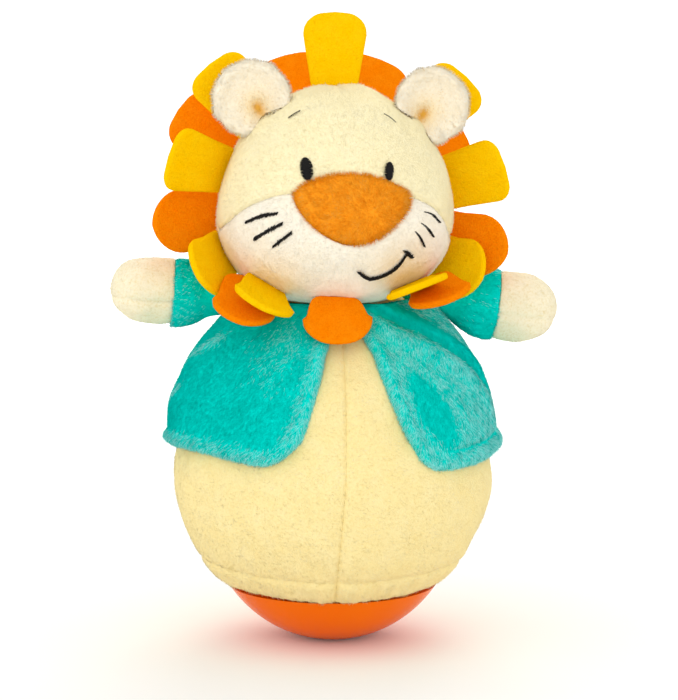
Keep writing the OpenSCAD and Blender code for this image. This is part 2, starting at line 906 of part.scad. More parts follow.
module ear(side) {
    d = [side * sin(ear_deg), 0, cos(ear_deg)];
    at = d * (head_reach(d) + ear_r * ear_out_share);
    color(cream) {
        head_place() {
            soft_cut() {
                translate([at.x, -head_front * ear_ahead_share, at.z])
                    rotate([0, 0, side * 8])
                        round_slab(ear_grid(false), ear_grid(true));
                head_blank(2 * cloth_gap);
            }
        }
    }
}

module ear_left() {
    ear(-1);
}

module ear_right() {
    ear(1);
}

// Mane: each petal is a flat felt leaf; its root stands clear of the head's face

module leaf(len) {
    tip_x = petal_tip_w / 2 - petal_corner_r;
    tip_y = len - petal_corner_r;
    bulge = len / 30;
    linear_extrude(felt_t, center = true) {
        polygon(concat(
            [[-petal_root_w / 2, 0], [petal_root_w / 2, 0]],
            [for (a = [0:15:90]) [tip_x + petal_corner_r * cos(a), tip_y + petal_corner_r * sin(a)]],
            [[0, len + bulge]],
            [for (a = [90:15:180]) [-tip_x + petal_corner_r * cos(a), tip_y + petal_corner_r * sin(a)]]));
    }
}

module petal(row) {
    d = face_dir(row[1], row[0]);
    root = d * head_reach(d);
    normal = head_normal(root);
    t = row[2];
    lean = row[3];
    across = [-sin(t), 0, cos(t)];
    out = [cos(t) * cos(lean), -sin(lean), sin(t) * cos(lean)];
    face = cross(across, out);
    half = petal_root_w / 2;
    dig = max(0, half * abs(across * normal) - half * half / (2 * head_low));
    sink = felt_t / 2 * abs(face * normal);
    at = root + out * (cloth_gap + dig + sink) / (out * normal) - normal * row[5];
    head_place() {
        multmatrix([
            [across.x, out.x, face.x, at.x],
            [across.y, out.y, face.y, at.y],
            [across.z, out.z, face.z, at.z],
            [0, 0, 0, 1]])
            leaf(petal_len * row[4]);
    }
}

module mane_yellow(i) {
    color(yellow)
        petal(yellow_leaves[i]);
}

module mane_orange(i) {
    color(orange)
        petal(orange_leaves[i]);
}

rocker_bowl();
ball_cover();
counterweight();
chime_plate();
weight_screws();
chime_rods();
clapper_hook();
clapper_link();
clapper();
hem_elastic();
body_panel_left();
body_panel_right();
body_wadding();
jacket_left_front();
jacket_right_front();
jacket_back();
sleeve_left();
sleeve_right();
hand_left();
hand_right();
face_panel();
muzzle_panel();
head_back_panel();
head_wadding();
nose();
eye_left();
eye_right();
eyebrows();
whiskers();
mouth();
ear_left();
ear_right();
for (i = [1:petal_count]) {
    mane_yellow(i - 1);
    mane_orange(i - 1);
}
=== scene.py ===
"""Looks of the roly poly toy: a stuffed lion sewn round a weighted ball that rights itself.

Lengths are millimetres in the classes and metres in the meshes. Angles round the body count
from the front (-Y) towards +X. On the head, w is the angle from the front and t the angle
round the face, counted from +X towards +Z.
"""

import enum
import logging
import math
from dataclasses import dataclass, field
from typing import Callable

import bmesh
import bpy
import numpy as np
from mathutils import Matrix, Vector


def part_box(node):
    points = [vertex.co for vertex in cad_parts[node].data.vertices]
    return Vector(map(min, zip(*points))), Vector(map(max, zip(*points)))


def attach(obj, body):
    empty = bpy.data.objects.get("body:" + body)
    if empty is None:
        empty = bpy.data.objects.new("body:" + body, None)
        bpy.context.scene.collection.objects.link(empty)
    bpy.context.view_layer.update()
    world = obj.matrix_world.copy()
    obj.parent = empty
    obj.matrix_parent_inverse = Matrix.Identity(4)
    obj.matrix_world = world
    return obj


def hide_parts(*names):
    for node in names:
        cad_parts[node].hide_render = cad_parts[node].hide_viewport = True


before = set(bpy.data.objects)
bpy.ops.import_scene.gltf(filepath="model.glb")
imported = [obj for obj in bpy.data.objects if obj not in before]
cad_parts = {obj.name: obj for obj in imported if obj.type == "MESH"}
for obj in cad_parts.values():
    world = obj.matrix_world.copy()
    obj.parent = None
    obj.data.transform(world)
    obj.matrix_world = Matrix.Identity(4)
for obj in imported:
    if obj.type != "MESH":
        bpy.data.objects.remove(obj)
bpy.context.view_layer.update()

MM = 0.001
CLOTH_GAP = 0.3
TOY = "toy"
SIM_FRAMES = 20
SIM_PRESSURE = 12.0
LEAST_LENGTH = 0.05
MOST_SHARE = 0.95

log = logging.getLogger("roly_poly")

Array = np.ndarray
Field = Callable[[Array], Array]
Comb = Callable[[Array, Array], Array]
Place = Callable[[Array, Array, Array], Array]
Colour = tuple[int, int, int]


# Small sums


def mix(a: Array | float, b: Array | float, t: Array | float) -> Array | float:
    """Value between a and b at share t."""
    return a + (b - a) * t


def dip(distance: Array, width: float) -> Array:
    """A soft bump of height 1 that fades over a width."""
    return np.exp(-((distance / width) ** 2))


def smooth(t: Array | float) -> Array | float:
    """Share t eased at both ends."""
    t = np.clip(t, 0, 1)
    return t * t * (3 - 2 * t)


def crowd(t: Array, strength: float) -> Array:
    """Share t with its steps crowded towards both ends."""
    return t - strength * np.sin(2 * np.pi * t) / (2 * np.pi)


def stack(x: Array, y: Array, z: Array) -> Array:
    """Points from three equal arrays."""
    return np.stack(np.broadcast_arrays(x, y, z), axis=-1).astype(float)


def unit(v: Array) -> Array:
    """Vectors at length 1."""
    return v / np.maximum(np.linalg.norm(v, axis=-1, keepdims=True), 1e-9)


def waves(p: Array, size: float, seed: int, count: int = 7) -> Array:
    """Smooth seeded unrest of about unit height.

    Args:
        p: Points in millimetres.
        size: Rough length of a wave in millimetres.
        seed: Seed of the wave directions.
        count: Number of waves that are summed.

    Returns:
        One vector for each point.
    """
    rng = np.random.default_rng(seed)
    out = np.zeros((len(p), 3))
    for _ in range(count):
        way = unit(rng.normal(size=3)) * rng.uniform(0.6, 1.5) * 2 * np.pi / size
        out += np.sin((p @ way)[:, None] + rng.uniform(0, 2 * np.pi, 3))
    return out / math.sqrt(count / 2)


def off_line(x: Array, y: Array, line: list[tuple[float, float]]) -> tuple[Array, Array, Array]:
    """Distance of points from a drawn line.

    Args:
        x: First coordinate of the points.
        y: Second coordinate of the points.
        line: Corner points of the line.

    Returns:
        The distance, the side (+1 left of the line, -1 right) and the share along the line.
    """
    best = np.full(np.shape(x), 1e9)
    side = np.ones(np.shape(x))
    share = np.zeros(np.shape(x))
    last = len(line) - 1
    for i in range(last):
        (ax, ay), (bx, by) = line[i], line[i + 1]
        dx, dy = bx - ax, by - ay
        t = np.clip(((x - ax) * dx + (y - ay) * dy) / (dx * dx + dy * dy), 0, 1)
        far = np.hypot(x - ax - t * dx, y - ay - t * dy)
        near = far < best
        best = np.where(near, far, best)
        side = np.where(near, np.sign(dx * (y - ay) - dy * (x - ax)), side)
        share = np.where(near, (i + t) / last, share)
    return best, side, share


def drawn(points: list[tuple[float, float]], steps: int = 8) -> Array:
    """Smooth curve through drawn points.

    Args:
        points: Points that it passes.
        steps: Steps between two of them.

    Returns:
        Points of the curve.
    """
    p = np.array(points, float)
    p = np.vstack([2 * p[0] - p[1], p, 2 * p[-1] - p[-2]])
    out = []
    for a, b, c, d in zip(p, p[1:], p[2:], p[3:]):
        for t in np.linspace(0, 1, steps, endpoint=False):
            out.append(b + 0.5 * t * (c - a + t * (2 * a - 5 * b + 4 * c - d + t * (3 * (b - c) + d - a))))
    return np.array([*out, p[-2]])


def arc(degrees: Array, radius: Array | float) -> Array:
    """Length of an arc."""
    return degrees * np.pi / 180 * radius


def bearing(p: Array) -> Array:
    """Angle of points round the body, from the front."""
    return np.degrees(np.arctan2(p[:, 0], -p[:, 1]))


# Meshes


def to_object(bm: bmesh.types.BMesh, name: str, materials: list[bpy.types.Material]) -> bpy.types.Object:
    """Ends a bmesh as a smooth object at the origin.

    Args:
        bm: The mesh in millimetres.
        name: Name of the piece.
        materials: Its material slots.

    Returns:
        The new object.
    """
    bmesh.ops.scale(bm, vec=Vector((MM, MM, MM)), verts=bm.verts[:])
    bmesh.ops.recalc_face_normals(bm, faces=bm.faces[:])
    for face in bm.faces:
        face.smooth = True
    mesh = bpy.data.meshes.new(name)
    bm.to_mesh(mesh)
    bm.free()
    for material in materials:
        mesh.materials.append(material)
    piece = bpy.data.objects.new(name, mesh)
    bpy.context.scene.collection.objects.link(piece)
    return piece


def move_all(verts: list[bmesh.types.BMVert], places: Array) -> None:
    """Puts each vertex at its new place."""
    for vert, place in zip(verts, places.tolist()):
        vert.co = place


def slab(name: str, cols: int, rows: int, place: Place, materials: list[bpy.types.Material]) -> bpy.types.Object:
    """A panel of cloth with two faces, formed from an extruded grid.

    Args:
        name: Name of the piece.
        cols: Grid steps across.
        rows: Grid steps along.
        place: Gives points for (share across, share along, 0 wrong side to 1 right side).
        materials: Right side, then wrong side.

    Returns:
        The closed panel.
    """
    bm = bmesh.new()
    bmesh.ops.create_grid(bm, x_segments=cols, y_segments=rows, size=0.5)
    layer = bm.verts.layers.float.new("right_side")
    lifted = bmesh.ops.extrude_face_region(bm, geom=bm.faces[:], use_keep_orig=True)
    for item in lifted["geom"]:
        if isinstance(item, bmesh.types.BMVert):
            item[layer] = 1.0
    for face in bm.faces:
        face.material_index = 1 if all(v[layer] < 0.5 for v in face.verts) else 0
    verts = bm.verts[:]
    at = np.array([(v.co.x + 0.5, v.co.y + 0.5, v[layer]) for v in verts])
    move_all(verts, place(at[:, 0], at[:, 1], at[:, 2]))
    bm.verts.layers.float.remove(layer)
    return to_object(bm, name, materials)


def puff(name: str, around: int, along: int, place: Field, materials: list[bpy.types.Material]) -> bpy.types.Object:
    """A stuffed closed form, shaped from a ball.

    Args:
        name: Name of the piece.
        around: Steps round the ball's axis.
        along: Steps from pole to pole.
        place: Gives points for unit directions.
        materials: Material slots.

    Returns:
        The closed form.
    """
    bm = bmesh.new()
    bmesh.ops.create_uvsphere(bm, u_segments=around, v_segments=along, radius=1)
    verts = bm.verts[:]
    move_all(verts, place(np.array([v.co[:] for v in verts])))
    return to_object(bm, name, materials)


def dome(
    name: str, around: int, along: int, place: Field, thick: float, materials: list[bpy.types.Material]
) -> bpy.types.Object:
    """A shell of cloth shaped from half a ball.

    Args:
        name: Name of the piece.
        around: Steps round the dome.
        along: Steps from pole to pole of the whole ball.
        place: Gives points for unit directions with z from 1 (pole) to 0 (rim).
        thick: Thickness of the cloth.
        materials: Right side, then wrong side.

    Returns:
        The shell, with a live Solidify.
    """
    bm = bmesh.new()
    bmesh.ops.create_uvsphere(bm, u_segments=around, v_segments=along, radius=1)
    bmesh.ops.bisect_plane(
        bm, geom=bm.verts[:] + bm.edges[:] + bm.faces[:], plane_co=(0, 0, 0), plane_no=(0, 0, 1), clear_inner=True
    )
    verts = bm.verts[:]
    move_all(verts, place(np.array([v.co[:] for v in verts])))
    piece = to_object(bm, name, materials)
    wall = piece.modifiers.new("cloth", "SOLIDIFY")
    wall.thickness = thick * MM
    wall.offset = -1
    wall.material_offset = 1
    return piece


def turned(name: str, profile: list[tuple[float, float]], steps: int, material: bpy.types.Material) -> bpy.types.Object:
    """A ring turned from a closed profile of (radius, height) points.

    Args:
        name: Name of the piece.
        profile: Corner points of the profile.
        steps: Steps round the ring.
        material: Its material.

    Returns:
        The closed ring.
    """
    bm = bmesh.new()
    corners = [bm.verts.new((r, 0, z)) for r, z in profile]
    edges = [bm.edges.new((corners[i - 1], corners[i])) for i in range(len(corners))]
    bmesh.ops.spin(
        bm, geom=corners + edges, cent=(0, 0, 0), axis=(0, 0, 1), angle=2 * math.pi, steps=steps, use_merge=True
    )
    bmesh.ops.remove_doubles(bm, verts=bm.verts[:], dist=1e-4)
    return to_object(bm, name, [material])


# Finishes


def linear(colour: Colour) -> tuple[float, float, float, float]:
    """Linear light of a colour written as 0 to 255."""
    parts = [c / 255 for c in colour]
    return tuple(p / 12.92 if p <= 0.04045 else ((p + 0.055) / 1.055) ** 2.4 for p in parts) + (1.0,)


class Shader:
    """A material whose nodes are added by short calls."""

    def __init__(self, name: str, colour: Colour, **values: float) -> None:
        """Starts from one Principled shader.

        Args:
            name: Name of the material.
            colour: Base colour.
            values: Socket values, with _ for a space in the socket's name.
        """
        self.material = bpy.data.materials.new(name)
        self.material.use_nodes = True
        self.tree = self.material.node_tree
        self.shader = self.tree.nodes["Principled BSDF"]
        self.shader.inputs["Base Color"].default_value = linear(colour)
        for socket, value in values.items():
            self.shader.inputs[socket.replace("_", " ")].default_value = value
        self.material.diffuse_color = linear(colour)

    def noise(
        self, size: float, detail: float = 2.0, stretch: tuple[float, float, float] = (1, 1, 1)
    ) -> bpy.types.NodeSocket:
        """Noise on Object coordinates.

        Args:
            size: Length of a grain in millimetres.
            detail: Detail of the noise.
            stretch: Times the grain is finer along each axis.

        Returns:
            The noise's factor.
        """
        place = self.tree.nodes.new("ShaderNodeTexCoord")
        turn = self.tree.nodes.new("ShaderNodeMapping")
        turn.inputs["Scale"].default_value = stretch
        noise = self.tree.nodes.new("ShaderNodeTexNoise")
        noise.inputs["Scale"].default_value = 1 / (size * MM)
        noise.inputs["Detail"].default_value = detail
        self.tree.links.new(place.outputs["Object"], turn.inputs["Vector"])
        self.tree.links.new(turn.outputs["Vector"], noise.inputs["Vector"])
        return noise.outputs["Fac"]

    def ramp(self, factor: bpy.types.NodeSocket, stops: list[tuple[float, Colour]]) -> bpy.types.NodeSocket:
        """Colour ramp.

        Args:
            factor: What drives it.
            stops: Position and colour of each stop.

        Returns:
            The ramp's colour.
        """
        node = self.tree.nodes.new("ShaderNodeValToRGB")
        points = node.color_ramp.elements
        while len(points) < len(stops):
            points.new(0.5)
        for point, (position, colour) in zip(points, stops):
            point.position = position
            point.color = linear(colour)
        self.tree.links.new(factor, node.inputs["Fac"])
        return node.outputs["Color"]

    def blend(
        self, factor: bpy.types.NodeSocket, a: bpy.types.NodeSocket, b: bpy.types.NodeSocket
    ) -> bpy.types.NodeSocket:
        """Mix of two colours by a factor."""
        node = self.tree.nodes.new("ShaderNodeMix")
        node.data_type = "RGBA"
        self.tree.links.new(factor, node.inputs["Factor"])
        self.tree.links.new(a, node.inputs["A"])
        self.tree.links.new(b, node.inputs["B"])
        return node.outputs["Result"]

    def span(self, factor: bpy.types.NodeSocket, low: float, high: float) -> bpy.types.NodeSocket:
        """A factor stretched to run from low to high."""
        node = self.tree.nodes.new("ShaderNodeMapRange")
        node.inputs["To Min"].default_value = low
        node.inputs["To Max"].default_value = high
        self.tree.links.new(factor, node.inputs["Value"])
        return node.outputs["Result"]

    def attribute(self, name: str) -> bpy.types.NodeSocket:
        """A value stored on the piece's own points."""
        node = self.tree.nodes.new("ShaderNodeAttribute")
        node.attribute_name = name
        return node.outputs["Fac"]

    def paint(self, socket: str, value: bpy.types.NodeSocket) -> None:
        """Drives a socket of the Principled shader."""
        self.tree.links.new(value, self.shader.inputs[socket])

    def bump(self, height: bpy.types.NodeSocket, depth: float, strength: float = 1.0) -> None:
        """Bump of a depth in millimetres."""
        node = self.tree.nodes.new("ShaderNodeBump")
        node.inputs["Strength"].default_value = strength
        node.inputs["Distance"].default_value = depth * MM
        self.tree.links.new(height, node.inputs["Height"])
        self.tree.links.new(node.outputs["Normal"], self.shader.inputs["Normal"])


@dataclass(frozen=True)
class Plush:
    """Woven cloth with a pile: the ground cloth is patterned, the fibres come in plain shades."""

    name: str
    slot: str
    deep: Colour
    mid: Colour
    light: Colour
    pale: Colour
    sheen: float = 0.25
    # Two colours of painted amber shade for a fold, laid where a piece stores a glow value.
    glow: tuple[Colour, Colour] | None = None

    def ground(self) -> bpy.types.Material:
        """Ground cloth under the fibres, mottled at the scale of pile clumps and of fibres, with painted amber shade
        where a piece stores a glow value.
        """
        cloth = Shader(
            f"{self.name}_ground",
            self.mid,
            Roughness=1.0,
            Sheen_Weight=self.sheen,
            Sheen_Roughness=0.5,
            Specular_IOR_Level=0.0,
        )
        fine = cloth.ramp(cloth.noise(0.9, 3), [(0.3, self.deep), (0.52, self.mid), (0.75, self.light)])
        broad = cloth.ramp(cloth.noise(9, 2), [(0.35, self.mid), (0.7, self.light)])
        colour = cloth.blend(cloth.noise(3, 2), fine, broad)
        # Painted amber shade: the colour goes over to the two shade colours where the glow value is high.
        if self.glow is not None:
            painted_fold_shade = cloth.attribute("glow")
            colour = cloth.blend(painted_fold_shade, colour, cloth.ramp(painted_fold_shade, [(0.35, self.glow[0]), (0.85, self.glow[1])]))
        cloth.paint("Base Color", colour)
        cloth.bump(cloth.noise(0.7, 2), 0.35, 0.6)
        return cloth.material

    def wrong_side(self) -> bpy.types.Material:
        """Knitted back of the cloth."""
        back = Shader(f"{self.name}_back", self.mid, Roughness=0.95, Specular_IOR_Level=0.1)
        back.paint("Base Color", back.ramp(back.noise(0.8, 1, (1, 1, 3)), [(0.35, self.deep), (0.65, self.light)]))
        return back.material

    def fibres(self) -> list[bpy.types.Material]:
        """Four plain shades, from deep to pale."""
        return [
            Shader(
                f"{self.name}_fibre_{i}",
                shade,
                Roughness=1.0,
                Sheen_Weight=self.sheen,
                Sheen_Roughness=0.4,
                Specular_IOR_Level=0.0,
            ).material
            for i, shade in enumerate((self.deep, self.mid, self.light, self.pale), 1)
        ]


@dataclass(frozen=True)
class Felt:
    """Pressed felt with a fine nap."""

    name: str
    slot: str
    deep: Colour
    mid: Colour
    light: Colour

    def sheet(self) -> bpy.types.Material:
        """Matted surface with cloudy fibre."""
        felt = Shader(f"{self.name}_sheet", self.mid, Roughness=1.0, Specular_IOR_Level=0.0)
        fine = felt.ramp(felt.noise(0.6, 4), [(0.32, self.deep), (0.5, self.mid), (0.68, self.light)])
        broad = felt.ramp(felt.noise(5, 3), [(0.3, self.mid), (0.7, self.light)])
        felt.paint("Base Color", felt.blend(felt.noise(1.6, 2), fine, broad))
        felt.bump(felt.noise(0.7, 4), 0.5, 0.8)
        return felt.material

    def fibres(self) -> list[bpy.types.Material]:
        """Three plain shades of the nap."""
        return [
            Shader(f"{self.name}_nap_{i}", shade, Roughness=1.0, Specular_IOR_Level=0.0).material
            for i, shade in enumerate((self.deep, self.mid, self.light), 1)
        ]


@dataclass(frozen=True)
class Hard:
    """Moulded plastic, cast or drawn metal."""

    name: str
    deep: Colour
    light: Colour
    rough: tuple[float, float]
    metallic: float = 0.0
    coat: float = 0.0
    grain: float = 6.0
    relief: float = 0.0
    shine: float = 0.5

    def material(self) -> bpy.types.Material:
        """Faint cloudiness in colour and gloss, with the grain of the casting."""
        hard = Shader(
            f"{self.name}_finish",
            self.light,
            Metallic=self.metallic,
            Coat_Weight=self.coat,
            Coat_Roughness=0.06,
            Specular_IOR_Level=self.shine,
        )
        hard.paint("Base Color", hard.ramp(hard.noise(self.grain * 3, 2), [(0.3, self.deep), (0.7, self.light)]))
        hard.paint("Roughness", hard.span(hard.noise(self.grain, 4), *self.rough))
        if self.relief:
            hard.bump(hard.noise(self.grain / 4, 3), self.relief, 0.5)
        return hard.material


def wadding(name: str) -> bpy.types.Material:
    """Loose white filling."""
    fill = Shader(name, (238, 236, 230), Roughness=1.0, Sheen_Weight=0.3)
    fill.paint("Base Color", fill.ramp(fill.noise(4, 5), [(0.3, (222, 220, 214)), (0.7, (246, 245, 241))]))
    fill.bump(fill.noise(2, 5), 1.2, 0.8)
    return fill.material


BODY_PLUSH = Plush("body_plush", "body_plush", (246, 221, 150), (250, 230, 163), (252, 236, 178), (255, 245, 208), 0.05)
FACE_PLUSH = Plush("face_plush", "body_plush", (253, 238, 184), (255, 243, 197), (255, 245, 205), (255, 249, 219), 0.05)
MUZZLE_PLUSH = Plush(
    "muzzle_plush", "muzzle_plush", (253, 242, 216), (254, 246, 226), (255, 248, 233), (255, 252, 243), 0.05
)
# The ear cloth's two last colours are painted amber shade for the pinched fold.
EAR_CLOTH = Plush(
    "ear_cloth",
    "ear_plush",
    (253, 236, 200),
    (255, 244, 220),
    (255, 248, 230),
    (255, 251, 240),
    0.05,
    ((250, 212, 122), (236, 174, 56)),
)
# The ear's deep fibres are amber: painted shade, grown only in the pinched fold.
EAR_PLUSH = Plush("ear_plush", "ear_plush", (240, 188, 66), (255, 241, 212), (255, 246, 226), (255, 251, 239), 0.05)
HAND_PLUSH = Plush("hand_plush", "hand_plush", (232, 212, 152), (250, 240, 208), (252, 243, 216), (254, 248, 230), 0.05)
# The jacket's pale fibres stand for light catching the pile: painted highlight on edges, fold ridges and the left
# sleeve.
JACKET_PLUSH = Plush("jacket_plush", "jacket_plush", (0, 206, 194), (0, 222, 210), (4, 230, 218), (150, 252, 246), 0.0)
NOSE_PLUSH = Plush("nose_plush", "nose_plush", (250, 132, 6), (255, 156, 30), (255, 166, 44), (255, 180, 74), 0.0)
YELLOW_FELT = Felt("yellow_felt", "yellow_felt", (248, 186, 0), (255, 198, 0), (255, 208, 16))
ORANGE_FELT = Felt("orange_felt", "orange_felt", (238, 108, 0), (249, 130, 0), (253, 146, 14))


@dataclass(frozen=True)
class Pile:
    """Fibres standing on a cloth. Thousands of tiny spikes have no operator, so they are written as arrays."""

    length: float
    width: float
    density: float
    lean: float
    clump: float = 4.0
    unrest: float = 0.5
    sink: float = 0.25
    spread: float = 0.08
    most: int = 48000
    drift: float = 0.12
    gloss: float = 0.35
    even: float = 0.0

    def roots(self, piece: bpy.types.Object, rng: np.random.Generator) -> tuple[Array, Array]:
        """Seeded places for the fibres, on the cloth's right side.

        Args:
            piece: The cloth.
            rng: Source of chance.

        Returns:
            Points in millimetres and the cloth's normals there.
        """
        shown = piece.evaluated_get(bpy.context.evaluated_depsgraph_get())
        mesh = shown.to_mesh()
        mesh.calc_loop_triangles()
        points = np.empty(len(mesh.vertices) * 3, np.float32)
        normals = np.empty(len(mesh.vertices) * 3, np.float32)
        corners = np.empty(len(mesh.loop_triangles) * 3, np.int32)
        slots = np.empty(len(mesh.loop_triangles), np.int32)
        mesh.vertices.foreach_get("co", points)
        mesh.vertices.foreach_get("normal", normals)
        mesh.loop_triangles.foreach_get("vertices", corners)
        mesh.loop_triangles.foreach_get("material_index", slots)
        shown.to_mesh_clear()
        points, normals = points.reshape(-1, 3) / MM, normals.reshape(-1, 3)
        corners = corners.reshape(-1, 3)[slots == 0]
        a, b, c = (points[corners[:, i]] for i in range(3))
        area = np.linalg.norm(np.cross(b - a, c - a), axis=1) / 2
        count = int(min(self.most, area.sum() * self.density))
        pick = rng.choice(len(area), count, p=area / area.sum())
        u, v = rng.random((2, count, 1))
        u, v = np.where(u + v > 1, 1 - u, u), np.where(u + v > 1, 1 - v, v)
        place = a[pick] + u * (b[pick] - a[pick]) + v * (c[pick] - a[pick])
        na, nb, nc = (normals[corners[pick, i]] for i in range(3))
        return place.astype(float), unit((na + u * (nb - na) + v * (nc - na)).astype(float))

    def grow(
        self,
        piece: bpy.types.Object,
        fibres: list[bpy.types.Material],
        comb: Comb,
        seed: int,
        pale: Field | None = None,
        trim: Field | None = None,
        deep: Field | None = None,
        stand: Field | None = None,
    ) -> bpy.types.Object:
        """Grows the fibres as one piece.

        Args:
            piece: The cloth that carries them.
            fibres: Plain shades, from deep to pale.
            comb: Gives the way the pile lies at points with normals.
            seed: Seed of all chance.
            pale: Gives the share of pale fibres at points.
            trim: Gives the share of full length at points; none grow under LEAST_LENGTH.
            deep: Gives the share of deep fibres at points.
            stand: Gives how upright the fibres are at points, from 0 to 1.

        Returns:
            The pile.
        """
        rng = np.random.default_rng(seed)
        p, n = self.roots(piece, rng)
        size = rng.uniform(0.7, 1.15, len(p))
        if trim is not None:
            share = trim(p)
            kept = share > LEAST_LENGTH
            p, n, size = p[kept], n[kept], (size * share)[kept]
        count = len(p)
        way = unit(comb(p, n)) + self.unrest * waves(p, self.clump, seed) + rng.normal(0, 0.18, (count, 3))
        way = unit(way - n * np.sum(way * n, axis=1, keepdims=True))
        lean = np.clip(self.lean + rng.normal(0, self.spread, (count, 1)), 0, 0.93)
        if stand is not None:
            lean = lean * (1 - np.clip(stand(p), 0, 1)[:, None])
        tilt = np.radians(90 * lean)
        go = unit(n * np.cos(tilt) + way * np.sin(tilt))
        across = unit(np.cross(go, n + 0.5 * way + rng.normal(0, 0.3, (count, 3))))
        other = np.cross(go, across)
        root = p - n * self.sink
        half = self.width / 2
        ring = [root + half * (math.cos(a) * across + math.sin(a) * other) for a in np.radians((0, 120, 240))]
        tip = root + go * (self.length * size)[:, None]
        verts = np.stack([*ring, tip], axis=1).reshape(-1, 3) * MM
        faces = np.array([(0, 2, 1), (0, 1, 3), (1, 2, 3), (2, 0, 3)])
        loops = (np.arange(count)[:, None, None] * 4 + faces).reshape(-1)
        odds = np.tile(np.array([0.2, 0.45, 0.3, 0.05] if len(fibres) == 4 else [0.25, 0.5, 0.25]), (count, 1))
        if pale is not None:
            share = np.clip(pale(p), 0, MOST_SHARE)[:, None]
            odds[:, -1] = 0
            odds = odds / odds.sum(axis=1, keepdims=True) * (1 - share)
            odds[:, -1:] += share
        if deep is not None:
            odds[:, 0] = 0
            share = np.clip(deep(p), 0, MOST_SHARE)[:, None]
            odds[:, :1] += share / (1.001 - share) * odds.sum(axis=1, keepdims=True)
        drift = self.drift * waves(p, self.clump * 2, seed + 1)[:, :1]
        chance = np.clip(rng.random((count, 1)) + drift, 0, 0.999)
        shade = np.argmax(chance < np.cumsum(odds / odds.sum(axis=1, keepdims=True), axis=1), axis=1)
        mesh = bpy.data.meshes.new(f"{piece.name}_pile")
        mesh.vertices.add(count * 4)
        mesh.vertices.foreach_set("co", verts.astype(np.float32).ravel())
        mesh.loops.add(count * 12)
        mesh.loops.foreach_set("vertex_index", loops.astype(np.int32))
        mesh.polygons.add(count * 4)
        mesh.polygons.foreach_set("loop_start", np.arange(0, count * 12, 3, dtype=np.int32))
        mesh.polygons.foreach_set("material_index", np.repeat(shade, 4).astype(np.int32))
        mesh.polygons.foreach_set("use_smooth", np.ones(count * 4, bool))
        mesh.update(calc_edges=True)
        n = unit(n + self.even * stack(0 * n[:, 0], np.sign(n[:, 1]), 0 * n[:, 0]))
        shine = unit(n + self.gloss * way + rng.normal(0, 0.08, (count, 3)))
        shade_as = np.stack([n, n, n, shine], axis=1).reshape(-1).astype(np.float32)
        mesh.attributes.new("custom_normal", "FLOAT_VECTOR", "POINT").data.foreach_set("vector", shade_as)
        for material in fibres:
            mesh.materials.append(material)
        grown = bpy.data.objects.new(mesh.name, mesh)
        bpy.context.scene.collection.objects.link(grown)
        log.info("%s: %d fibres", grown.name, count)
        return grown


def inflate(piece: bpy.types.Object, sewn: Field, most: float) -> None:
    """Blows a stuffed piece up with simulated cloth and keeps the result.

    Args:
        piece: Closed cloth.
        sewn: Gives over 0.5 where seams hold the cloth.
        most: Longest way in millimetres that a point may move.
    """
    mesh = piece.data
    start = np.empty(len(mesh.vertices) * 3, np.float32)
    mesh.vertices.foreach_get("co", start)
    start = start.reshape(-1, 3)
    held = piece.vertex_groups.new(name="sewn")
    held.add(np.flatnonzero(sewn(start / MM) > 0.5).tolist(), 1.0, "REPLACE")
    cloth = piece.modifiers.new("stuffing", "CLOTH")
    cloth.settings.vertex_group_mass = "sewn"
    cloth.settings.use_pressure = True
    cloth.settings.uniform_pressure_force = SIM_PRESSURE
    cloth.settings.effector_weights.gravity = 0
    cloth.settings.bending_stiffness = 0.1
    cloth.settings.quality = 6
    cloth.collision_settings.use_collision = False
    for step in range(1, SIM_FRAMES + 1):
        bpy.context.scene.frame_set(step)
    shown = piece.evaluated_get(bpy.context.evaluated_depsgraph_get())
    end = np.empty(len(mesh.vertices) * 3, np.float32)
    shown.data.vertices.foreach_get("co", end)
    piece.modifiers.remove(cloth)
    piece.vertex_groups.remove(held)
    bpy.context.scene.frame_set(1)
    move = np.nan_to_num(end.reshape(-1, 3) - start)
    far = np.linalg.norm(move, axis=1, keepdims=True)
    move = move * np.minimum(1, most * MM / np.maximum(far, 1e-9))
    mesh.vertices.foreach_set("co", (start + move).ravel())
    mesh.update()
    moved = np.linalg.norm(move, axis=1).max() / MM
    log.info("%s: simulated, moved up to %.2f mm of %.2f mm", piece.name, moved, far.max() / MM)


def settle(
    piece: bpy.types.Object, body: str, slot: str, *nodes: str, pile: bpy.types.Object | None = None
) -> bpy.types.Object:
    """Gives a piece, and its pile, to a body and hides the CAD nodes that it stands for.

    Args:
        piece: The piece.
        body: Body that it rides on.
        slot: Material slot of the record; not used.
        nodes: CAD nodes that it stands for.
        pile: Fibres on it.

    Returns:
        The piece.
    """
    for part in (piece, pile):
        if part is not None:
            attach(part, body)
    if nodes:
        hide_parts(*nodes)
    log.info("%s rides on %s", piece.name, body)
    return piece


# Sub-assemblies


@dataclass
class Rocker:
    """Plastic ball with its weight and chime; the CAD solids stay and get their finishes."""

    bowl: Hard = Hard("bowl_plastic", (243, 104, 0), (249, 114, 0), (0.16, 0.24), shine=0.06, grain=20)
    inner: Hard = Hard("inner_plastic", (226, 224, 216), (238, 236, 230), (0.35, 0.5), grain=3, relief=0.05)
    iron: Hard = Hard("cast_iron", (44, 44, 48), (70, 70, 74), (0.55, 0.75), metallic=1, grain=2, relief=0.2)
    steel: Hard = Hard("drawn_steel", (150, 153, 158), (186, 189, 194), (0.2, 0.35), metallic=1, grain=1.5)

    def dress(self) -> None:
        """Gives each CAD solid of the ball its finish."""
        finishes = {
            self.bowl: ["rocker_bowl"],
            self.inner: ["ball_cover", "chime_plate"],
            self.iron: ["counterweight"],
            self.steel: ["weight_screws", "chime_rods", "clapper_hook", "clapper_link", "clapper"],
        }
        for finish, names in finishes.items():
            material = finish.material()
            for name in names:
                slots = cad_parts[name].data.materials
                slots.clear()
                slots.append(material)
                log.info("%s dressed", name)


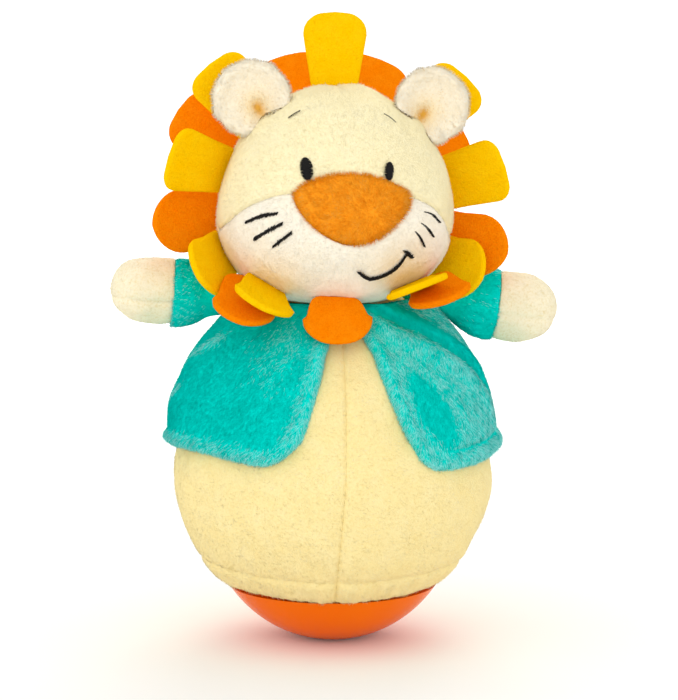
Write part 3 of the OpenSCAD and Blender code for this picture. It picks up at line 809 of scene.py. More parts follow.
@dataclass
class Body:
    """Pear-shaped stuffed body: two plush panels, seamed front and back, drawn in at the hem."""

    radius: float = 64.0
    belly: float = 70.0
    neck: float = 138.5
    neck_radius: float = 26.0
    hem: float = 22.3
    hem_radius: float = 41.965
    hem_rise: float = 2.4
    casing: float = 9.5
    plush: float = 2.0
    power: float = 1.6
    seam_line: tuple[tuple[float, ...], tuple[float, ...]] = ((22.0, 75.0, 118.0, 140.0), (-3.7, 0.0, 1.0, 1.0))

    @property
    def upper(self) -> float:
        """Height scale of the upper part."""
        return (self.neck - self.belly) / (1 - (self.neck_radius / self.radius) ** self.power) ** (1 / self.power)

    @property
    def lower(self) -> float:
        """Height scale of the lower part."""
        return (self.belly - 22.0) / math.sqrt(1 - (self.hem_radius / self.radius) ** 2)

    def at(self, z: Array) -> Array:
        """Radius of the cloth's right side at heights."""
        low = self.radius * np.sqrt(np.clip(1 - ((self.belly - z) / self.lower) ** 2, 0, 1))
        rise = np.clip((z - self.belly) / self.upper, 0, 1)
        high = self.radius * (1 - rise**self.power) ** (1 / self.power)
        return np.where(z < self.belly, low, high)

    def layer(self, z: Array, out: Array | float) -> Array:
        """Radius of a layer some way out from the right side."""
        slope = (self.at(z + 0.3) - self.at(z - 0.3)) / 0.6
        return self.at(z) + out * np.sqrt(1 + slope**2)

    def around(self, degrees: Array, z: Array, out: Array | float) -> Array:
        """Points at angles, heights and a distance out from the body."""
        r = self.layer(z, out)
        a = np.radians(degrees)
        return stack(r * np.sin(a), -r * np.cos(a), z)

    def relief(self, degrees: Array, z: Array, rise: Array) -> Array:
        """Seams, casing, gathers and the soft unevenness of the filling.

        Args:
            degrees: Angles round the body.
            z: Heights.
            rise: Heights above the hem.

        Returns:
            Distance out from the even form.
        """
        r = self.at(z)
        from_front = arc(np.abs(degrees - np.interp(z, *self.seam_line)), r)
        from_back = arc(180 - np.abs(degrees), r)
        flat = self.around(degrees, z, 0)
        out = 0.5 * waves(flat, 46, 11)[:, 0] + 0.22 * waves(flat, 17, 12)[:, 0]
        for off in (from_front, from_back):
            stitch = 0.7 + 0.3 * np.sin(z * 2 * np.pi / 3.6 + np.sin(z / 9))
            out -= 0.95 * stitch * dip(off, 0.8) + 0.55 * dip(off, 3.2)
        gather = np.sin(np.radians(degrees) * 34 + 2 * np.sin(np.radians(degrees) * 3)) * (
            0.5 + 0.5 * np.sin(np.radians(degrees) * 2.3 + 0.8)
        )
        under = smooth((self.casing - rise) / 4)
        out -= 0.75 * dip(rise - self.casing, 0.9)
        out += under * (0.5 + 0.45 * gather) * smooth(rise / 2)
        out += 0.3 * gather * dip(rise - self.casing - 3, 4)
        return out

    def build(self, side: int) -> bpy.types.Object:
        """One half of the body.

        Args:
            side: -1 for the left panel, 1 for the right.

        Returns:
            The panel.
        """

        def place(u: Array, v: Array, right: Array) -> Array:
            degrees = side * 180 * crowd(u, 0.82)
            ragged = 0.35 * np.sin(np.radians(degrees) * 61) + 0.3 * np.sin(np.radians(degrees) * 23 + 1)
            hem = self.hem + self.hem_rise * np.sin(np.radians(degrees)) ** 2 + ragged * 0.6
            top = self.neck - 0.5
            z = mix(hem, top, np.minimum(1, v / 0.95) ** 1.25)
            lead = np.interp(z, *self.seam_line) * dip(degrees, 40.0)
            degrees = degrees + lead
            out = self.relief(degrees, z, z - hem) * right - self.plush * (1 - right)
            close = np.clip((v - 0.95) / 0.05, 0, 1)
            p = self.around(degrees, z, out)
            p[:, :2] *= mix(1, 0.55, close)[:, None]
            return p

        name = "body_left" if side < 0 else "body_right"
        piece = slab(name, 120, 92, place, [BODY_PLUSH.ground(), BODY_PLUSH.wrong_side()])
        pile = Pile(1.4, 0.22, 4.3, 0.77, clump=9, unrest=0.15, spread=0.07, most=44000, drift=0.06).grow(
            piece, BODY_PLUSH.fibres(), self.comb, 100 + side, pale=self.nap, trim=self.trim
        )
        settle(piece, TOY, "body_plush", "body_panel_left" if side < 0 else "body_panel_right", pile=pile)
        return piece

    def comb(self, p: Array, n: Array) -> Array:
        """Pile lies round to the right, and down at the hem."""
        return stack(-n[:, 1], n[:, 0], -0.3 - 2.5 * dip(p[:, 2] - self.hem, 2.5))

    def nap(self, p: Array) -> Array:
        """Share of pale fibres: the nap is brushed in soft patches."""
        return np.clip(0.16 + 0.16 * waves(p, 15, 15)[:, 0] + 0.1 * waves(p, 5, 16)[:, 0], 0, 1)

    def trim(self, p: Array) -> Array:
        """No pile under the jacket and inside the hem, full length elsewhere."""
        degrees = bearing(p)
        open_front = (degrees > -22) & (degrees < 34)
        covered = (p[:, 2] > 88) & ~open_front
        tucked = np.hypot(p[:, 0], p[:, 1]) < self.at(p[:, 2]) - 1.6
        under = (p[:, 2] > 132) | tucked
        edge = 1 + 0.6 * dip(p[:, 2] - self.hem, 2.5)
        return np.where(covered | under, 0.0, edge)

    def stuffing(self) -> None:
        """Filling layer over the ball and the elastic in the hem's casing."""
        fill = wadding("wadding_fill")
        heights = np.linspace(41, 135.5, 26)
        outer = [(float(self.layer(np.array([z]), -2.6)[0]), float(z)) for z in heights]
        inner = [(float(self.layer(np.array([z]), -4.0)[0]), float(z) - 0.4) for z in heights[::-1]]
        shell = turned("body_wadding_fill", outer + [(1.0, 135.5), (1.0, 134.1)] + inner, 72, fill)
        settle(shell, TOY, "wadding", "body_wadding")
        cord = Shader("elastic_cord", (232, 232, 228), Roughness=0.7)
        rib = cord.noise(0.5, 1, (1, 1, 4))
        cord.paint("Base Color", cord.ramp(rib, [(0.35, (206, 206, 202)), (0.65, (244, 244, 240))]))
        cord.bump(rib, 0.15)
        low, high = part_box("hem_elastic")
        middle = ((low.z + high.z) / 2) / MM
        half = ((high.z - low.z) / 2) / MM
        radius = high.x / MM - half
        ring = [(radius + half * math.cos(a), middle + half * math.sin(a)) for a in np.linspace(0, 2 * np.pi, 13)[:-1]]
        settle(turned("hem_elastic_cord", ring, 96, cord.material), TOY, "elastic", "hem_elastic")


@dataclass
class Jacket:
    """Open plush jacket: two rounded fronts and a back, with rolled, topstitched edges."""

    body: Body
    top: float = 138.5
    fall_from: float = 133.5
    hem: float = 79.0
    tent: float = 4.0
    billow: tuple[float, float] = (4.8, 2.8)
    cloth: float = 2.5
    roll: float = 1.5
    fold: float = 2.4
    stitch: float = 7.2
    side: float = math.degrees(math.atan2(40.96, -9.0))
    shoulder: tuple[float, float, float] = (40.96, 9.0, 138.0)
    armhole: float = 9.7
    left_front: tuple[tuple[float, ...], tuple[float, ...]] = (
        (79.0, 84.6, 90.0, 95.9, 102.9, 110.9, 119.9, 124.4, 130.0, 138.0),
        (-18.5, -17.5, -15.6, -13.9, -12.0, -10.3, -8.6, -6.8, -4.5, -2.0),
    )
    right_front: tuple[tuple[float, ...], tuple[float, ...]] = (
        (75.0, 79.6, 84.7, 90.8, 98.6, 105.7, 112.1, 120.1, 126.4, 132.0, 138.0),
        (28.5, 27.4, 25.6, 22.8, 20.5, 18.7, 17.2, 16.0, 12.5, 7.0, 3.0),
    )
    left_hem: tuple[tuple[float, ...], tuple[float, ...]] = (
        (-102.0, -84.0, -66.0, -54.0, -42.0, -32.0, -18.0),
        (79.0, 80.4, 81.8, 81.4, 80.6, 79.8, 79.4),
    )
    right_hem: tuple[tuple[float, ...], tuple[float, ...]] = (
        (27.0, 34.0, 41.0, 50.0, 62.0, 77.0, 102.0),
        (75.6, 76.2, 76.2, 76.6, 77.0, 77.4, 79.0),
    )
    valley: list[tuple[float, float]] = field(
        default_factory=lambda: [
            *((16, 139), (24, 136), (35, 131.5), (47, 127), (56, 121.4)),
            *((66, 115.5), (74, 107.5), (81, 99), (86, 91)),
        ]
    )
    creases: list[list[tuple[float, float]]] = field(
        default_factory=lambda: [
            [(-95, 113), (-84, 118), (-74, 122.5), (-62, 127)],
            [(-95, 95), (-87, 101), (-78, 107.5)],
        ]
    )

    def armhole_top(self, degrees: Array) -> Array:
        """Height of the top edge, which dips round each armhole."""
        top = np.full(np.shape(degrees), self.top)
        cx, cy, cz = self.shoulder
        for _ in range(6):
            p = self.body.around(degrees, top, 2.0 + self.tented(degrees, top))
            for side in (-1, 1):
                off = np.hypot(p[:, 0] - side * cx, p[:, 1] - cy)
                top = np.minimum(top, cz - np.sqrt(np.clip(self.armhole**2 - off**2, 0, None)) * (off < self.armhole))
        return top

    def tented(self, degrees: Array, z: Array) -> Array:
        """How far the cloth is held off the body below the arms."""
        return self.tent * smooth((z - 106) / 20) * dip(np.abs(degrees) - 92, 38)

    def lift(self, degrees: Array, z: Array) -> Array:
        """How far the cloth stands off the body: hanging folds, the pleat and the creases."""
        fall = np.clip((self.fall_from - z) / (self.fall_from - self.hem), 0, 1)
        calm = 1 - 0.8 * dip(np.abs(degrees) - 92, 32)
        folds = self.fold * fall * (1 + np.sin(np.radians(degrees * 9))) / 2 * 0.8 * calm
        out = CLOTH_GAP + self.tented(degrees, z) + folds
        full = np.where(degrees < 0, *self.billow) * dip(np.abs(degrees) - 88, 30)
        out = out + full * smooth((z - 76) / 24) * smooth((128 - z) / 20)
        far, side, share = off_line(degrees, z, self.valley)
        ends = smooth(share * 6) * smooth((1 - share) * 3)
        pleat = 1.7 * dip(far - 4.2, 3.6) + 0.7 * np.where(side > 0, dip(far - 8, 6), 0) - 1.2 * dip(far, 1.7)
        out = out + ends * np.clip(pleat + 0.9 * dip(far, 9), -out + CLOTH_GAP, None)
        for line in self.creases:
            far, side, share = off_line(degrees, z, line)
            out = out + 0.7 * dip(far, 1.6) * smooth((86 + degrees) / 12) * smooth((1 - share) * 4)
        return out

    def thickness(self, edge: Array, seam: Array, sewn: Array | float = 0.2) -> Array:
        """Cloth thickness: rounded edge, roll, topstitch and side seam.

        Args:
            edge: Distance from the free edge.
            seam: Distance from the side seam.
            sewn: How far the topstitch draws the cloth in.

        Returns:
            Thickness at each point.
        """
        body = self.cloth + self.roll * dip(edge - 3.0, 2.4) - 1.3 * sewn * dip(edge - self.stitch, 0.8)
        body = body - 0.9 * dip(seam, 1.6)
        rim = np.sqrt(np.clip(1 - (1 - np.clip(edge / 2.2, 0, 1)) ** 2, 0.012, 1))
        return np.maximum(body * rim, 0.3)

    def front(self, left: bool) -> bpy.types.Object:
        """One front, from its edge to the side seam.

        Args:
            left: True for the left front.

        Returns:
            The panel.
        """
        edge_line = self.left_front if left else self.right_front
        hem_line = self.left_hem if left else self.right_hem
        side = (1 - self.side) if left else (self.side - 1)
        corner = 13.0 if left else 8.0

        def place(u: Array, v: Array, right: Array) -> Array:
            share = np.where(u < 0.5, 0.42 * (u / 0.5) ** 1.6, 0.42 + 0.58 * (u - 0.5) / 0.5)
            along = 1 - (1 - v) ** 1.45
            hem_edge = np.interp(self.hem, *edge_line)
            hem_degrees = mix(hem_edge, side, share)
            away = arc(np.abs(hem_degrees - hem_edge), 62)
            inside = np.clip(1 - away / corner, 0, 1)
            hem = np.interp(hem_degrees, *hem_line) + corner * (1 - np.sqrt(1 - inside**2))
            top = self.armhole_top(mix(np.interp(self.top, *edge_line), side, share))
            z = mix(top, hem, along)
            degrees = mix(np.interp(z, *edge_line), side, share)
            r = self.body.layer(z, 2)
            to_front = arc(np.abs(degrees - np.interp(z, *edge_line)), r)
            to_hem = z - hem
            edge = 1 / (1 / np.maximum(to_front, 1e-3) ** 4 + 1 / np.maximum(to_hem, 1e-3) ** 4) ** 0.25
            seam = arc(np.abs(side - degrees), r)
            sewn = 0.0 if left else smooth((degrees - 38) / 6) * (to_hem < to_front)
            out = self.lift(degrees, z) + self.thickness(edge, seam, sewn) * right
            return self.body.around(degrees, z, out)

        # Pale fibres are painted highlight: a band along the rolled front and hem edges and lines on the left front's
        # crease ridges, broken up at random, plus patches on the left front by the collar and on the right front.
        def pale(p: Array) -> Array:
            degrees = bearing(p)
            z = p[:, 2]
            to_front = arc(np.abs(degrees - np.interp(z, *edge_line)), 60)
            to_hem = z - np.interp(degrees, *(np.array(line) for line in hem_line))
            cloud = waves(p, 7, 31)[:, 0]
            tuft = 1 + 0.6 * waves(p, 1.7, 35)[:, 0]
            out = 0.5 * smooth((9.5 - to_front) / 4) * tuft + 0.5 * smooth((8.5 - to_hem) / 4) * tuft
            out = out + 0.5 * dip(np.minimum(to_front, to_hem), 1.6)
            if left:
                for line in self.creases:
                    far, _, share = off_line(degrees, z, line)
                    out = out + 0.7 * dip(far, 1.5) * smooth(share * 4) * smooth((1 - share) * 4)
                out = out + 0.4 * dip(np.hypot((degrees + 31) * 0.9, (z - 125) * 1.1), 9) * tuft
            else:
                # Fewer pale fibres in the pleat's valley and along the topstitch groove: painted shade there.
                far, turn, _ = off_line(degrees, z, self.valley)
                x, y = (degrees - 36.5) * 1.1, z - 99.4
                patch = np.hypot((0.384 * x - 0.923 * y) / 17, (0.923 * x + 0.384 * y) / 8.5)
                painted_sheen_patch = 0.75 * smooth((patch - 0.75) * 2.2) * (1 + 0.25 * cloud) * tuft**0.5
                near = np.where(turn < 0, smooth((far - 0.5) / 2.5), smooth((far - 6) / 3) * 0.6)
                sewn = 0.6 * dip(to_hem - self.stitch, 0.7) * smooth((degrees - 38) / 6)
                out = np.maximum(out * 0.9, painted_sheen_patch) * near - sewn
            return out

        name = "jacket_left" if left else "jacket_right"
        piece = slab(name, 96, 84, place, [JACKET_PLUSH.ground(), JACKET_PLUSH.wrong_side()])
        pile = Pile(2.5, 0.22, 8, 0.82, clump=6, unrest=0.15, spread=0.06, most=42000, drift=0.05, gloss=0.15).grow(
            piece, JACKET_PLUSH.fibres(), self.comb, 200 + left, pale=pale
        )
        settle(piece, TOY, "jacket_plush", "jacket_left_front" if left else "jacket_right_front", pile=pile)
        return piece

    def back(self) -> bpy.types.Object:
        """Back panel between the two side seams."""

        def place(u: Array, v: Array, right: Array) -> Array:
            degrees = mix(self.side, 360 - self.side, crowd(u, 0.6))
            along = 1 - (1 - v) ** 1.45
            signed = np.where(degrees > 180, degrees - 360, degrees)
            z = mix(self.armhole_top(signed), self.hem, along)
            r = self.body.layer(z, 2)
            seam = arc(np.minimum(degrees - self.side, 360 - self.side - degrees), r)
            out = self.lift(signed, z) + self.thickness(z - self.hem, seam) * right
            return self.body.around(degrees, z, out)

        # Pale fibres: painted highlight along the rolled hem, plus random pale clouds.
        def pale(p: Array) -> Array:
            cloud = waves(p, 9, 33)[:, 0]
            return 0.5 * dip(p[:, 2] - self.hem, 5.5) * (1 + 0.5 * cloud) + 0.15 * np.clip(cloud, 0, 1)

        piece = slab("jacket_back_panel", 130, 76, place, [JACKET_PLUSH.ground(), JACKET_PLUSH.wrong_side()])
        pile = Pile(2.4, 0.38, 3.6, 0.8, clump=5, unrest=0.2, spread=0.06, most=20000, drift=0.05, gloss=0.15).grow(
            piece, JACKET_PLUSH.fibres(), self.comb, 205, pale=pale
        )
        settle(piece, TOY, "jacket_plush", "jacket_back", pile=pile)
        return piece

    def comb(self, p: Array, n: Array) -> Array:
        """Pile lies down and a little to the left."""
        return stack(0.25 * n[:, 1], -0.25 * n[:, 0], -np.ones(len(p)))


@dataclass
class Arm:
    """Stuffed arm: a plush sleeve and an egg-shaped hand, seamed along the middle."""

    side: int
    shoulder: tuple[float, float, float] = (40.96, 9.0, 138.0)
    root: float = 8.6
    cuff: float = 13.4
    squash: float = 0.9
    hand: float = 25.0
    seam: float = 3.6

    @property
    def droop(self) -> float:
        """Angle below the level."""
        return -4.0 if self.side < 0 else 9.0

    @property
    def sag(self) -> float:
        """How far the filling sinks to the arm's lower side; the right arm is fuller."""
        return 0.2 if self.side < 0 else 1.6

    @property
    def sleeve(self) -> float:
        """Length of the sleeve from the shoulder."""
        return 22.0 if self.side < 0 else 26.0

    @property
    def word(self) -> str:
        """Name of the side."""
        return "left" if self.side < 0 else "right"

    def swing(self, p: Array) -> Array:
        """Takes points along +X from the shoulder to the arm's place."""
        a = math.radians(self.droop)
        x = p[:, 0] * math.cos(a) + p[:, 2] * math.sin(a)
        z = p[:, 2] * math.cos(a) - p[:, 0] * math.sin(a)
        cx, cy, cz = self.shoulder
        return stack(self.side * (cx + x), cy + p[:, 1], cz + z)

    def ring(self, x: Array, angle: Array, r: Array) -> Array:
        """Points of the arm's oval rings."""
        return self.swing(stack(x, r * self.squash * np.cos(angle), r * np.sin(angle)))

    def sleeve_radius(self, x: Array) -> Array:
        """Radius of the sleeve at a distance from the shoulder."""
        round_root = np.sqrt(np.clip(self.root**2 - x**2, 0, None))
        swell = mix(self.root, self.cuff, np.sin(np.pi / 2 * np.clip(x / (0.7 * self.sleeve), 0, 1)))
        return np.where(x < 0, round_root, swell)

    def build(self) -> None:
        """Makes sleeve and hand and gives them to the arm's body."""

        def sleeve_place(d: Array) -> Array:
            s = 1 - np.arccos(np.clip(d[:, 2], -1, 1)) / np.pi
            angle = np.arctan2(d[:, 1], d[:, 0])
            tube = np.clip(s / 0.88, 0, 1)
            x = mix(-self.root * 0.98, self.sleeve, tube**0.85)
            r = self.sleeve_radius(x) - 0.35
            flat = stack(x, r * np.cos(angle), r * np.sin(angle))
            r = r + (0.3 * waves(flat, 14, 41 + self.side)[:, 0]) * smooth((x - 3) / 8)
            r = r - 0.5 * dip(np.sin(angle) * r, 1.2) * smooth((x - 6) / 8)
            below, above = np.clip(-np.sin(angle), 0, 1), np.clip(np.sin(angle), 0, 1)
            r = r - 1.9 * below * dip(x - 7, 6) - 0.5 * above * smooth((x - 6) / 8)
            r = r + 0.3 * dip(x - self.sleeve + 2.5, 2.5) + self.sag * below * smooth((x - 6) / 14)
            close = np.clip((s - 0.88) / 0.12, 0, 1)
            r = r * np.sqrt(1 - close**2 * 0.9999)
            x = x + 0.15 * np.sin(close * np.pi)
            return self.ring(x, angle, r)

        def hand_place(d: Array) -> Array:
            s = 1 - np.arccos(np.clip(d[:, 2], -1, 1)) / np.pi
            angle = np.arctan2(d[:, 1], d[:, 0])
            tube = np.clip((s - 0.1) / 0.9, 0, 1)
            share = np.sin(np.pi / 2 * tube)
            r = (self.cuff - CLOTH_GAP) * np.sqrt(np.clip(1 - (np.clip(share - 0.35, 0, None) / 0.65) ** 2.2, 0, 1))
            open_end = np.clip(s / 0.1, 0, 1)
            r = r * np.sqrt(np.clip(1 - (1 - open_end) ** 2, 0, 1))
            x = self.sleeve + CLOTH_GAP + self.hand * share
            flat = stack(x, r * np.cos(angle), r * np.sin(angle))
            r = r + 0.22 * waves(flat, 13, 44 + self.side)[:, 0] * smooth(r / 6) - 0.5 * dip(share, 0.06)
            r = r + self.sag * np.clip(-np.sin(angle), 0, 1) * smooth(r / 9)
            r = r - 1.0 * dip(np.sin(angle) * r + self.seam, 0.8) * smooth(r / 5)
            return self.ring(x, angle, np.maximum(r, 0))

        body = f"arm_{self.word}"
        swell = 0.3

        def from_seam(p: Array) -> Array:
            a = math.radians(self.droop)
            x, z = p[:, 0] * self.side - self.shoulder[0], p[:, 2] - self.shoulder[2]
            return np.abs(z * math.cos(a) + x * math.sin(a) + self.seam)

        def sleeve_held(p: Array) -> Array:
            x = np.abs(p[:, 0]) - self.shoulder[0]
            return smooth((7 - x) / 5)

        sleeve = puff(f"sleeve_{self.word}_plush", 72, 56, sleeve_place, [JACKET_PLUSH.ground()])
        inflate(sleeve, sleeve_held, most=swell)
        inside = self.swing(np.zeros((1, 3)))[0]

        def sleeve_trim(p: Array) -> Array:
            far = np.linalg.norm(p - inside, axis=1)
            return np.where(far < 11.5, 0.0, smooth((far - 11) / 4))

        def outwards(p: Array, n: Array) -> Array:
            return stack(np.full(len(p), float(self.side)), 0 * p[:, 0], -0.5 * np.ones(len(p)))

        # Pale fibres: random streaks, many more on the left sleeve as painted highlight for its lit side, and a band at
        # the cuff edge as painted highlight.
        def sleeve_pale(p: Array) -> Array:
            streaks_and_lit_side = (0.42 if self.side < 0 else 0.05) * np.clip(waves(p, 2.0, 47)[:, 1], 0, 1)
            return streaks_and_lit_side + 0.3 * dip(np.abs(p[:, 0] - inside[0]) - self.sleeve - 0.5, 1.5)

        pile = Pile(1.9, 0.24, 7, 0.78, clump=4, unrest=0.2, spread=0.05, most=15000, drift=0.05, gloss=0.15).grow(
            sleeve, JACKET_PLUSH.fibres(), outwards, 300 + self.side, pale=sleeve_pale, trim=sleeve_trim
        )
        settle(sleeve, body, "jacket_plush", f"sleeve_{self.word}", pile=pile)
        hand = puff(f"hand_{self.word}_plush", 64, 48, hand_place, [HAND_PLUSH.ground()])
        inflate(hand, lambda p: dip(from_seam(p), 1.0), most=swell)
        pile = Pile(0.95, 0.2, 4.5, 0.7, clump=6, unrest=0.3, spread=0.12, most=11000).grow(
            hand,
            HAND_PLUSH.fibres(),
            outwards,
            310 + self.side,
            deep=lambda p: 0.8 * dip(from_seam(p), 0.6),
            trim=lambda p: 1 - 0.5 * dip(from_seam(p), 0.7),
        )
        settle(hand, body, "hand_plush", f"hand_{self.word}", pile=pile)


@dataclass(frozen=True)
class HeadForm:
    """The head's egg about its widest level, and its place."""

    half_width: float = 47.0
    front: float = 44.0
    back: float = 38.0
    top: float = 53.5
    low: float = 35.0
    ahead: float = 10.0
    height: float = 169.3
    yaw: float = 1.5
    roll: float = 2.5
    neck_top: float = 138.8

    def scales(self, d: Array) -> Array:
        """Half axes that hold on each point's side."""
        return stack(
            np.full(len(d), self.half_width),
            np.where(d[:, 1] < 0, self.front, self.back),
            np.where(d[:, 2] > 0, self.top, self.low),
        )

    def reach(self, d: Array) -> Array:
        """Distance of the surface along directions."""
        return 1 / np.linalg.norm(d / self.scales(d), axis=1)

    def normal(self, p: Array) -> Array:
        """Normals at points of the head's own frame."""
        return unit(p / self.scales(p) ** 2)

    def turn(self, p: Array) -> Array:
        """Turns vectors of the head's own frame: roll, then yaw."""
        r, y = math.radians(self.roll), math.radians(self.yaw)
        x = p[:, 0] * math.cos(r) + p[:, 2] * math.sin(r)
        z = p[:, 2] * math.cos(r) - p[:, 0] * math.sin(r)
        return stack(x * math.cos(y) - p[:, 1] * math.sin(y), x * math.sin(y) + p[:, 1] * math.cos(y), z)

    def put(self, p: Array) -> Array:
        """Places points of the head's own frame."""
        return self.turn(p) + np.array([0.0, -self.ahead, self.height])

    def at(self, w: Array, t: Array, out: Array | float) -> Array:
        """Points at angles, some way out; the underside is flat on the neck.

        Args:
            w: Angles from the front in degrees.
            t: Angles round the face in degrees.
            out: Distance out from the face.

        Returns:
            Placed points.
        """
        w, t = np.radians(w), np.radians(t)
        d = stack(np.sin(w) * np.cos(t), -np.cos(w), np.sin(w) * np.sin(t))
        p = self.put(d * (self.reach(d) + out)[:, None])
        p[:, 2] = np.maximum(p[:, 2], self.neck_top - np.minimum(out, 0))
        return p

    def on_front(self, x: Array, z: Array, out: Array | float) -> Array:
        """Placed points of the front at widths and heights, some way out."""
        h = np.where(z > 0, self.top, self.low)
        y = -self.front * np.sqrt(np.clip(1 - (x / self.half_width) ** 2 - (z / h) ** 2, 0, 1))
        p = stack(x, y, z)
        return self.put(p + self.normal(p) * np.reshape(out, (-1, 1)))


@dataclass
class Head:
    """Stuffed head: upper face, muzzle and back, seamed together, with the nose let in."""

    form: HeadForm
    plush: float = 2.0
    nose_width: float = 24.5
    nose_top: float = 9.2
    nose_low: float = 19.0
    nose_side: float = 37.0
    nose_height: float = 12.0
    nose_across: float = 2.2
    nose_puff: float = 3.0
    side_seam: float = -6.0
    seam_power: float = 1.8

    @property
    def corner_height(self) -> float:
        """Height of the nose's side corners above its middle."""
        return self.nose_top * 0.13

    @property
    def corner_angle(self) -> float:
        """Angle of the nose's side corners about its middle."""
        return math.degrees(math.atan2(self.corner_height, self.nose_width))

    def nose_reach(self, a: Array) -> Array:
        """Reach of the nose's outline at angles: an arched top and two bulging sides, softened."""
        a = np.radians(a)
        rise = self.nose_top - self.corner_height
        arch = (self.nose_width**2 + rise**2) / (2 * rise)
        low = arch - self.nose_top
        chord = np.array([self.nose_low + self.corner_height, -self.nose_width])
        middle = np.array([self.nose_width, self.corner_height - self.nose_low]) / 2
        middle = middle - chord / np.linalg.norm(chord) * math.sqrt(self.nose_side**2 - chord @ chord / 4)
        edges = [np.sqrt(arch**2 - (low * np.cos(a)) ** 2) - low * np.sin(a)]
        for side in (1, -1):
            along = np.cos(a) * side * middle[0] + np.sin(a) * middle[1]
            edges.append(along + np.sqrt(self.nose_side**2 - middle @ middle + along**2))
        return sum(edge**-8 for edge in edges) ** (-1 / 8)

    def nose_edge(self, a: Array) -> tuple[Array, Array]:
        """Angles (w, t) on the head of the nose's edge."""
        r = self.nose_reach(a) + 0.3
        x = self.nose_across + r * np.cos(np.radians(a))
        z = self.nose_height + r * np.sin(np.radians(a))
        h = np.where(z > 0, self.form.top, self.form.low)
        y = self.form.front * np.sqrt(1 - (x / self.form.half_width) ** 2 - (z / h) ** 2)
        return np.degrees(np.arctan2(np.hypot(x, z), y)), np.degrees(np.arctan2(z, x))

    def panel_angles(self, low: bool, u: Array, v: Array) -> tuple[Array, Array, Array]:
        """Angles of a front panel's points.

        Args:
            low: True for the muzzle, False for the upper face.
            u: Share across.
            v: Share from the nose to the side seam.

        Returns:
            w, t and the row's angular width.
        """

        def across(right: Array | float, left: Array | float) -> Array | float:
            first, last = (180 - left, 360 + right) if low else (right, 180 - left)
            return mix(first, last, u)

        edge_w, edge_t = self.nose_edge(across(self.corner_angle, self.corner_angle))
        if low:
            edge_t = np.where(edge_t < 90, edge_t + 360, edge_t)
        _, corners = self.nose_edge(np.array([self.corner_angle, 180 - self.corner_angle]))
        corner_right, corner_left = corners[0], 180 - corners[1]
        fall = 1 - (1 - v) ** self.seam_power
        right, left = mix(corner_right, self.side_seam, fall), mix(corner_left, self.side_seam, fall)
        bend = edge_t - across(corner_right, corner_left)
        t = across(right, left) + bend * np.clip(1 - 2 * v, 0, 1)
        return mix(edge_w, 90.0, v), t, 180 + (right + left) * (1 if low else -1)

    def relief(self, p: Array) -> Array:
        """Soft unevenness of the filling."""
        return 0.35 * waves(p, 34, 51)[:, 0] + 0.16 * waves(p, 13, 52)[:, 0]

    def panel(self, low: bool) -> bpy.types.Object:
        """Upper face or muzzle.

        Args:
            low: True for the muzzle.

        Returns:
            The panel.
        """

        def place(u: Array, v: Array, right: Array) -> Array:
            u, v = crowd(u, 0.7), crowd(v, 0.6)
            w, t, wide = self.panel_angles(low, u, v)
            to_seam = np.minimum(u, 1 - u) * np.radians(wide) * np.sin(np.radians(w)) * 46
            to_side = (1 - v) * 44
            to_nose = v * 44
            middle = (u - 0.5) * np.radians(wide) * np.sin(np.radians(w)) * 46
            dart = smooth((v - (0.45 if low else 0.72)) * 4)
            out = self.relief(self.form.at(w, t, 0.0))
            out = out - 0.95 * dip(to_seam, 0.9) - 0.35 * dip(to_seam, 3)
            out = out - 1.0 * dip(to_side, 1.1) - 0.7 * dip(to_nose, 1.3)
            out = out - dart * (0.5 * dip(middle, 0.8) + (0.6 if low else 0.3) * dip(middle, 3.5))
            return self.form.at(w, t, out * right - self.plush * (1 - right))

        finish = MUZZLE_PLUSH if low else FACE_PLUSH
        name = "muzzle_plush_panel" if low else "face_plush_panel"
        piece = slab(name, 110, 72, place, [finish.ground(), finish.wrong_side()])
        pile = Pile(1.3, 0.19, 4.8, 0.7, clump=9, unrest=0.12, spread=0.09, most=33000, gloss=0.2).grow(
            piece, finish.fibres(), self.comb, 400 + low, trim=self.trim
        )
        settle(piece, TOY, finish.slot, "muzzle_panel" if low else "face_panel", pile=pile)
        return piece

    def back(self) -> bpy.types.Object:
        """Back of the head."""

        def place(d: Array) -> Array:
            away = np.degrees(np.arccos(np.clip(d[:, 2], -1, 1)))
            t = np.degrees(np.arctan2(d[:, 1], d[:, 0]))
            w = 180 - away * (89.6 / 90)
            p = self.form.at(w, t, 0.0)
            out = self.relief(p) - 1.0 * dip((90 - away) * 0.8, 1.1)
            seam = np.abs(p[:, 0]) + np.where(p[:, 1] < -10, 99, 0)
            return self.form.at(w, t, out - 0.9 * dip(seam, 0.9) - 0.4 * dip(seam, 3))

        piece = dome("head_back_plush", 128, 84, place, self.plush, [FACE_PLUSH.ground(), FACE_PLUSH.wrong_side()])
        pile = Pile(1.5, 0.3, 2.4, 0.62, clump=8, unrest=0.35, spread=0.14, most=17000).grow(
            piece, FACE_PLUSH.fibres(), self.comb, 410, trim=self.trim
        )
        settle(piece, TOY, "body_plush", "head_back_panel", pile=pile)
        return piece

    def comb(self, p: Array, n: Array) -> Array:
        """Pile lies away from the nose and downwards at the back."""
        way = p - self.form.put(np.array([[self.nose_across, -self.form.front, self.nose_height]]))
        way[:, 2] -= 12
        return way

    def trim(self, p: Array) -> Array:
        """No pile where the head sits on the neck."""
        return np.where(p[:, 2] < self.form.neck_top + 0.6, 0.0, 1.0)

    def nose(self) -> bpy.types.Object:
        """Puffed shield-shaped nose."""

